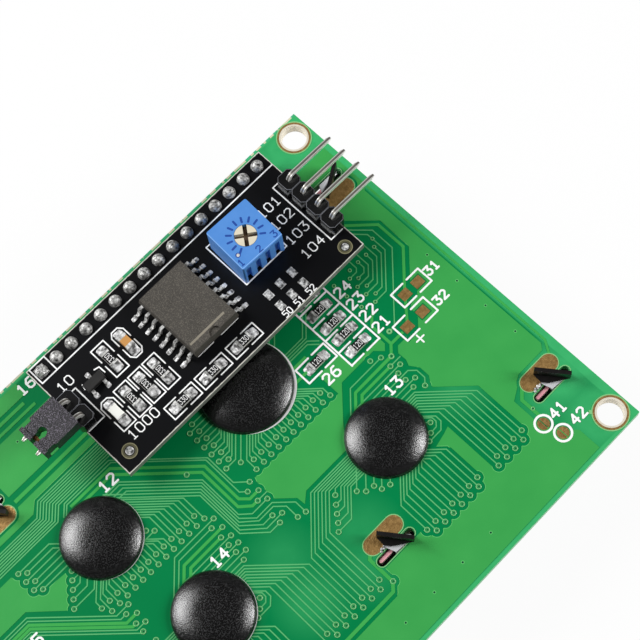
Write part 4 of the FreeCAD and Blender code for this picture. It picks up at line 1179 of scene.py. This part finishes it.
def print_on_main_board():
    """White print: frames and plain numbers."""
    line = 0.25
    left = 28.95
    right = 33.95
    bars = [rounded_bar((x, -0.05), (x, 10.2), line) for x in (left, right)]
    for y in (9.3, 6.95, 4.65, 2.35, 0.0):
        bars += [rounded_bar((left, y), (31.1, y), line), rounded_bar((31.75, y), (right, y), line)]
    bars += frame_line(23.6, 2.25, 28.6, 4.7, line, (25.85, 26.5))
    bars += frame_line(39.15, 0.45, 44.15, 2.9, line, (41.3, 42.05))
    bars += frame_line(36.15, -2.85, 41.75, -0.25, line, (38.35, 39.5))
    labels = (
        ("12", -2.7, 11.5, 1.35), ("14", 0.3, -5.2, 1.35), ("13", 30.6, -5.6, 1.35),
        ("15", -22.5, 3.6, 1.35), ("26", 26.3, 1.0, 1.35), ("31", 45.4, 1.7, 1.15),
        ("32", 43.25, -1.9, 1.15), ("41", 42.25, -22.5, 1.25), ("42", 43.45, -24.85, 1.25),
        ("16", -1.3, 28.2, 1.35),
    )
    for text, x, y, tall in labels:
        bars += figures(text, x, y, tall, 0.27)
    for i in range(4):
        bars += figures(str(21 + i), 35.5, 1.2 + 2.26 * i, 1.3, 0.26)
    bars += figures("+", 37.45, -3.8, 1.9, 0.22)
    white_print("main_board_print", bars)
    white_print("test_ring_print", test_discs(TEST_RING), test_discs(TEST_RING_BORE))


# how far the ring of each cover is moved towards the lower right, so that it shows as a crescent that is in
# part a painted highlight, and how much smaller it is than the cover
RING_PLACES = ((0.3, 0.06), (0.08, 0.02), (0.08, 0.11), (0.08, 0.02), (0.08, 0.02))


def cover_rings_and_rim_highlights():
    """Printed rings that the resin runs over, moved so that they show past its lower right side as white
    crescents, which stand in part for a painted highlight on the resin's rim.
    """
    outer = []
    inner = []
    for (x, y, radius, _), (shift, setback) in zip(COVERS, RING_PLACES):
        outer.append(disc(x + shift * 0.75, y - shift, radius - setback, 72))
        inner.append(disc(x, y, radius - 0.06, 72))
    white_print("cover_ring_print_and_rim_highlight", outer, inner)


def inside_slots():
    """The contact strip that shows in the slots beside each tab, bright on top, with a deep rose flank
    lower down that is painted shade.
    """
    # the deep rose flank is the strip's painted shade
    for name, start, away, width, height, finish in (
            ("strips_in_slots", -2.45, SLOT_Y - 0.17, 0.42, 1.15, PINK_RUBBER),
            ("strip_flank_shade_in_slots", -2.3, SLOT_Y - 0.41, 0.3, 1.0, ROSE_SHADE)):
        bars = [rounded_bar((x + start, side * away), (x - 0.7, side * away), width, 8)
                for x in TAB_XS for side in (-1, 1)]
        plates(name, bars, [], BOARD_TOP - 1.5, height, finish)


def solder_crumbs():
    """Small crumbs of solder left beside two of the slots."""
    spread = ((-0.5, -0.1), (-0.25, 0.12), (0.0, -0.05), (0.2, 0.15), (0.38, -0.12), (0.6, 0.05))
    crumbs = [(x + across, y + along, BOARD_TOP + 0.04)
              for x, y in ((14.9, -18.85), (42.65, -18.85)) for across, along in spread]
    turned("solder_crumbs", crumbs, [(0.2, 0.0), (0.17, 0.12), (0.08, 0.19)], SOLDER, 8)


def header_edge_glints():
    """Thin pale lines round the eight sided cells of the two bent headers: a painted highlight on their top
    edges.
    """
    cut = 0.45
    for name, count in (("signal_header_block", 4), ("jumper_header_block", 2)):
        a, b = corners(name)
        lines = []
        for i in range(count):
            left = a.x + 0.05
            right = b.x - 0.05
            near = a.y + PIN_PITCH * i + 0.05
            far = near + PIN_PITCH - 0.1
            cell = [(left, near + cut), (left + cut, near), (right - cut, near), (right, near + cut),
                    (right, far - cut), (right - cut, far), (left + cut, far), (left, far - cut)]
            lines += along_line(cell + cell[:1], 0.05)
        plates(name + "_edges", lines, [], b.z, 0.012, EDGE_GLINT)


# Backpack

CHIP_PART_WIDTH = 1.25
CAPACITOR_BOX = (10.1, 12.07, 19.4, 24.0)
# first x, last x, first y and last y of the frames round the upright resistors
UPRIGHT_FRAMES = ((7.1, 9.23, 19.3, 24.1), (5.5, 7.6, 13.5, 18.27), (7.97, 10.03, 13.5, 18.27),
                  (10.4, 12.53, 13.5, 18.27))
# the line below the header, and open lines round the lamp, transistor, chip and bent headers
LINES_ON_BACKPACK = (
    ((0.17, 25.5), (40.73, 25.5)),
    ((2.93, 15.3), (2.93, 13.6), (5.0, 13.6), (5.0, 15.3)),
    ((2.93, 16.0), (2.93, 17.7), (3.5, 18.3), (4.4, 18.3), (5.0, 17.7), (5.0, 16.0)),
    ((5.83, 22.09), (6.51, 21.92), (6.55, 20.9)), ((3.46, 21.73), (3.3, 21.05)),
    ((16.0, 13.83), (18.6, 13.83)), ((20.0, 13.83), (22.9, 13.83)),
    ((40.5, 23.1), (38.5, 23.1), (38.5, 12.63), (40.5, 12.63)),
    ((0.0, 22.07), (2.6, 22.07), (2.6, 16.77), (0.0, 16.77)),
)
LABELS_ON_BACKPACK = (("101", 36.2, 21.6), ("102", 36.2, 19.17), ("103", 36.2, 16.43),
                      ("104", 36.2, 13.67), ("1000", 5.3, 12.6), ("10", 2.1, 23.4))
SOLDER_PAD_XS = (27.77, 29.83, 31.93)
# centre and radius of the two sighting marks
SIGHTING_MARKS = ((1.73, 11.33, 0.55), (39.0, 10.67, 0.5))


def print_on_backpack():
    """White print of the small board."""
    line = 0.18
    bars = frame_line(0.17, 25.5, 2.67, 28.0, line) + frame_line(26.83, 16.17, 34.03, 23.5, line)
    strokes = list(LINES_ON_BACKPACK)
    x0, x1, y0, y1 = CAPACITOR_BOX
    middle = (y0 + y1) / 2
    for far in (y0, y1):
        toward = 1 if far > middle else -1
        corner = far - toward * 0.6
        strokes.append([(x0, middle + toward * 0.35), (x0, corner), (x0 + 0.5, far), (x1 - 0.5, far),
                        (x1, corner), (x1, middle + toward * 0.35)])
    for x0, x1, y0, y1 in UPRIGHT_FRAMES:
        middle = (y0 + y1) / 2
        for x in (x0, x1):
            strokes += [((x, y0), (x, middle - 0.35)), ((x, middle + 0.35), (x, y1))]
        strokes += [((x0, y), (x1, y)) for y in (y0, y1)]
    for x0, x1 in ((8.33, 13.03), (13.57, 18.3), (19.0, 23.7)):
        middle = (x0 + x1) / 2
        bars += frame_line(x0, 10.07, x1, 12.13, line, (middle - 0.35, middle + 0.35))
    for points in strokes:
        bars += along_line(points, line)
    for text, x, y in LABELS_ON_BACKPACK:
        bars += figures(text, x, y, 1.25, 0.16)
    for text, x in zip(("50", "51", "52"), SOLDER_PAD_XS):
        bars += figures(text, x, 9.83, 0.85, 0.14, narrow=0.85)
    white_print("backpack_print", bars, z=BACKPACK_TOP)


def pads_on_backpack():
    """Tinned bare pads, the two sighting marks and the square first pad."""
    pads = [centred(x, y, 0.96, 1.24) for x in SOLDER_PAD_XS for y in (13.17, 11.1)]
    pads.append(rectangle(0.55, 26.1, 1.8, 27.4))

    def marks(more, sides=28):
        return [disc(x, y, radius + more, sides) for x, y, radius in SIGHTING_MARKS]

    plates("tinned_pads", pads, [], BACKPACK_TOP, 0.08, TINNED_PAD)
    plates("sighting_marks", marks(0.0, 20), [], BACKPACK_TOP, 0.03, TINNED_PAD)
    plates("sighting_rings", marks(0.37), marks(0.11), BACKPACK_TOP, 0.015, OLIVE)
    plates("sighting_rims", marks(0.47), marks(0.37), BACKPACK_TOP, 0.015, PALE_OLIVE)


def small_part_print():
    """A plain number on every resistor and a pale bar across the controller."""
    for name in frame["nodes"]:
        if "resistor" in name:
            a, b = corners(name)
            turn = 0.0 if b.x - a.x > b.y - a.y else 90.0
            number = "120" if name.startswith("board") else "330"
            middle = (a + b) / 2
            shapes = figures(number, middle.x, middle.y, 0.68, 0.085, turn)
            shapes = [squeezed(shape, middle, turn) for shape in shapes]
            plates(name + "_number", shapes, [], b.z - 0.03, 0.02, WHITE_PRINT)
    top = high("controller_chip").z
    plates("chip_bar", [rectangle(16.0, 14.74, 21.85, 15.04)], [], top, 0.01, BAR_GREY)


def squeezed(shape, middle, turn):
    """An outline pressed together along its reading direction."""
    share = 0.62
    if turn:
        return [(x, middle.y + (y - middle.y) * share) for x, y in shape]
    return [(middle.x + (x - middle.x) * share, y) for x, y in shape]


def solder_fillets():
    """Solder that climbs the ends of the small parts: a hollow slope from the part down to the board."""
    joints = []
    for name in frame["nodes"]:
        if "resistor" not in name and name not in ("capacitor", "power_led"):
            continue
        a, b = corners(name)
        surface = BOARD_TOP if name.startswith("board") else BACKPACK_TOP
        reach = 1.0 if name.startswith("board") else 1.1
        height = min(b.z - surface, 0.5)
        long_axis = 0 if b.x - a.x > b.y - a.y else 1
        for end, side in ((a, -1), (b, 1)):
            foot = [(a.x + b.x) / 2, (a.y + b.y) / 2]
            foot[long_axis] = end[long_axis]
            heading = [0, 0]
            heading[long_axis] = side
            joints.append((foot, heading, reach, height, surface))
    slopes("small_part_solder", joints, CHIP_PART_WIDTH + 0.1)
    lead_joints = []
    a, b = corners("controller_leads")
    for i in range(8):
        y = (a.y + b.y) / 2 + 1.27 * (i - 3.5)
        for x, side in ((a.x, -1), (b.x, 1)):
            lead_joints.append(((x - side * 0.1, y), (side, 0), 0.75, 0.3, BACKPACK_TOP))
    slopes("lead_solder", lead_joints, 0.62)
    a, b = corners("transistor_leads")
    feet = ((-0.97, a.y + 0.1, -1), (0.97, a.y + 0.1, -1), (0.0, b.y - 0.1, 1))
    middle = (a.x + b.x) / 2
    small = [((middle + across, y), (0, side), 0.6, 0.25, BACKPACK_TOP) for across, y, side in feet]
    slopes("transistor_solder", small, 0.7)


# how hollow a slope is, and how much its corners and its foot draw in
SLOPE_HOLLOW = 1.8
SLOPE_CORNERS = 0.28
SLOPE_TAPER = 0.06


def slopes(name, joints, width):
    """Hollow solder slopes; each joint is a foot point, a heading, a reach, a height and a surface."""
    across = 8
    down = 6
    points = []
    faces = []
    for foot, heading, reach, height, surface in joints:
        out = Vector(heading)
        side = Vector((-out.y, out.x))
        tops = []
        for i in range(across + 1):
            sideways = -1 + 2 * i / across
            spread = math.sqrt(1 - SLOPE_CORNERS * sideways ** 8)
            for j in range(down + 1):
                run = j / down
                rise = height * (1 - run) ** SLOPE_HOLLOW * spread
                spot = Vector(foot) + out * (run * reach * spread - 0.05)
                spot += side * (sideways * width / 2 * (1 - SLOPE_TAPER * run))
                tops.append((spot.x, spot.y, surface + max(rise, 0.02)))
        start = len(points)
        floor = start + len(tops)
        points += tops + [(x, y, surface - SUNK) for x, y, _ in tops]

        def corner(i, j, base):
            return base + i * (down + 1) + j

        def wall(near, far, flip):
            made = (corner(*near, start), corner(*far, start), corner(*far, floor), corner(*near, floor))
            faces.append(made[::-1] if flip else made)

        for i in range(across):
            for j in range(down):
                quad = [corner(*spot, start) for spot in ((i, j), (i, j + 1), (i + 1, j + 1), (i + 1, j))]
                faces.append(tuple(quad))
                faces.append(tuple(k - start + floor for k in reversed(quad)))
            for j, flip in ((0, False), (down, True)):
                wall((i, j), (i + 1, j), flip)
        for j in range(down):
            for i, flip in ((0, True), (across, False)):
                wall((i, j), (i, j + 1), flip)
    return piece(name, points, faces, SOLDER, smooth=True)


def header_solder():
    """Smooth drops over the header's pins, in the form of the plain ones that they stand for."""
    profile = ((0.85, -SUNK), (0.85, 0.05), (0.8, 0.28), (0.7, 0.52), (0.52, 0.7), (0.38, 0.78), (0.2, 0.8))
    centres = [(x, y, BACKPACK_TOP) for x, y in HEADER]
    drops = turned("smooth_header_solder", centres, profile, DULL_SOLDER, 28)
    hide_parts("header_solder_back")
    x, y = HEADER[-1]
    half = 0.77
    points = []
    for share, height in ((1.0, -SUNK), (0.97, 0.14), (0.86, 0.34), (0.7, 0.46)):
        reach = half * share
        points += [(px, py, BACKPACK_TOP + height)
                   for px, py in rectangle(x - reach, y - reach, x + reach, y + reach)]
    faces = [(start + i, start + (i + 1) % 4, start + 4 + (i + 1) % 4, start + 4 + i)
             for start in (0, 4, 8) for i in range(4)]
    piece("square_solder", points, faces + [(12, 13, 14, 15), (3, 2, 1, 0)], DULL_SOLDER)
    profile = ((0.85, -SUNK), (0.83, 0.12), (0.66, 0.42), (0.45, 0.68), (0.3, 0.78), (0.15, 0.8))
    centres = [(x, y, BOARD_LOW.z) for x, y in HEADER]
    front = turned("smooth_front_solder", centres, profile, SOLDER, 28, -1)
    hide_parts("header_solder_front")


def smooth_covers():
    """Resin drops with the outline of the plain ones: steep at the rim, ever flatter towards the top."""
    for i, (x, y, radius, top) in enumerate(COVERS):
        height = top - BOARD_TOP
        profile = [(radius, -SUNK), (radius, 0.1)]
        for step in range(1, 25):
            share = math.cos(math.radians(89.0 * step / 24))
            crown = 0.76 * (1 - share ** 3.0) + 0.24 * (1 - share ** 70)
            profile.append((radius * share, max(height * crown, 0.1)))
        drop = turned("resin_drop_%d" % (i + 1), [(x, y, BOARD_TOP)], profile, RESIN, 72)
        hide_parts("chip_cover_%d" % (i + 1))


TRIMMER = (30.41, 19.58)
TRIMMER_TURN = -2.3
ROTOR_SHIFT = -0.27


def trimmer_details():
    """Tick grooves, figures and the dimple in dark blue as their painted shade, a grey spot in the dimple
    as its painted highlight, pale edges of the top as a painted highlight, and a dark floor in the cross
    slot as its painted shade.
    """
    turn = math.radians(TRIMMER_TURN)

    def at(dx, dy):
        return (TRIMMER[0] + dx * math.cos(turn) - dy * math.sin(turn),
                TRIMMER[1] + dx * math.sin(turn) + dy * math.cos(turn))

    a, b = corners("trimmer_body")
    top = b.z
    ticks = []
    # grooves, figures and the disc round the dimple in dark blue: painted shade of moulded hollows
    for i in range(11):
        angle = math.radians(-37 + 24.8 * i)
        ends = [at(r * math.cos(angle), ROTOR_SHIFT + r * math.sin(angle)) for r in (1.85, 2.45)]
        ticks.append(rounded_bar(*ends, 0.28))
    for number, dx, dy in (("1", -2.85, -2.55), ("2", 0.0, -2.75), ("3", 2.65, -2.6)):
        ticks += figures(number, *at(dx, dy), 0.85, 0.16, TRIMMER_TURN)
    dimple = at(-2.46, -1.56)
    ticks.append(disc(*dimple, 0.34))
    plates("trimmer_marks", ticks, [], top, 0.008, GROOVE_SHADE_BLUE)
    # grey metal spot in the dimple: a painted highlight
    plates("trimmer_dimple_highlight", [disc(*dimple, 0.22)], [], top, 0.01, TIN)
    # pale lines along the top's front edges: a painted highlight
    edge = (b.x - a.x) / 2 / (math.cos(turn) + abs(math.sin(turn))) - 0.06
    rim = along_line([at(-edge, edge), at(-edge, -edge), at(edge, -edge)], 0.09)
    plates("trimmer_edge_highlights", rim, [], top, 0.006, BLUE_EDGE_HIGHLIGHT)
    middle = Vector(at(0.0, ROTOR_SHIFT))
    # dark brown floor in the cross slot: its painted shade
    floor = high("trimmer_rotor").z - 0.7
    cross = []
    for quarter in (0.0, 90.0):
        angle = math.radians(55.0 + TRIMMER_TURN + quarter)
        reach = Vector((math.cos(angle), math.sin(angle))) * 1.4
        cross.append(ribbon([tuple(middle - reach), tuple(middle + reach)], 0.5))
    plates("rotor_slot_floor", cross, [], floor, 0.02, SLOT_SHADE_BROWN, body="rotor")


# Setting

# half the floor's side in metres; name, place, side and watts of each lamp; what the lamps point at
FLOOR_REACH = 3.0
LAMPS = (("key", (-180.0, 325.0, 290.0), 270.0, 2.45), ("fill", (285.0, -240.0, 230.0), 150.0, 1.3))
LIT_PLACE = (12.0, 0.0, 10.0)


def floor_paint():
    """White wherever the camera, a mirror or a clear piece looks at it, dull for the light it throws."""
    finish = Finish("floor")
    seen = 0.0
    for ray in ("Is Camera Ray", "Is Glossy Ray", "Is Transmission Ray"):
        seen = finish.larger(finish.node("ShaderNodeLightPath", {}, {}, ray), seen)
    dull = finish.node("ShaderNodeBsdfDiffuse", {}, {"Color": (0.9, 0.9, 0.9, 1.0)})
    glow = finish.node("ShaderNodeEmission", {}, {})
    both = finish.node("ShaderNodeMixShader", {}, {0: seen * 0.94, 1: dull, 2: glow})
    finish.tree.links.new(both.socket, finish.tree.nodes["Material Output"].inputs["Surface"])
    finish.tree.nodes.remove(finish.shader)
    return finish.material


def stage_and_light():
    """Pale floor, two soft lights and a pale surround."""
    mesh = bpy.data.meshes.new("floor")
    outline = rectangle(-FLOOR_REACH, -FLOOR_REACH, FLOOR_REACH, FLOOR_REACH)
    mesh.from_pydata([(x, y, 0.0) for x, y in outline], [], [(0, 1, 2, 3)])
    mesh.materials.append(floor_paint())
    floor = new_object("floor", mesh)
    world = bpy.data.worlds.new("surround")
    world.use_nodes = True
    background = world.node_tree.nodes["Background"]
    background.inputs["Color"].default_value = (1.0, 1.0, 1.0, 1.0)
    background.inputs["Strength"].default_value = 0.08
    bpy.context.scene.world = world
    for name, place, size, power in LAMPS:
        lamp = bpy.data.lights.new(name, "AREA")
        lamp.shape = "SQUARE"
        lamp.size = size * MM
        lamp.energy = power
        made = new_object(name, lamp)
        made.location = Vector(place) * MM
        aim = Vector(LIT_PLACE) * MM - made.location
        made.rotation_euler = aim.to_track_quat("-Z", "Y").to_euler()


CAMERA_PLACE = (-11.044, -47.404, 205.846)
CAMERA_RIGHT = (0.69624, -0.71594, -0.05177)
CAMERA_UP = (0.68908, 0.64642, 0.32759)
CAMERA_BACK = (-0.20107, -0.26375, 0.9434)
LENS = 91.53
SENSOR_WIDTH = 36.0


def place_camera():
    """The photograph's own viewpoint."""
    camera = bpy.data.cameras.new("camera")
    camera.lens = LENS
    camera.sensor_width = SENSOR_WIDTH
    made = new_object("camera", camera)
    turn = Matrix((CAMERA_RIGHT, CAMERA_UP, CAMERA_BACK)).transposed().to_4x4()
    made.matrix_world = Matrix.Translation(Vector(CAMERA_PLACE) * MM) @ turn
    camera.clip_start = 0.01
    bpy.context.scene.camera = made


bpy.context.scene.view_settings.view_transform = "Standard"
dress_nodes()
etch_main_board()
bare_metal_of_main_board()
header_rings()
print_on_main_board()
cover_rings_and_rim_highlights()
inside_slots()
solder_crumbs()
header_edge_glints()
print_on_backpack()
pads_on_backpack()
small_part_print()
solder_fillets()
header_solder()
smooth_covers()
trimmer_details()
stage_and_light()
place_camera()
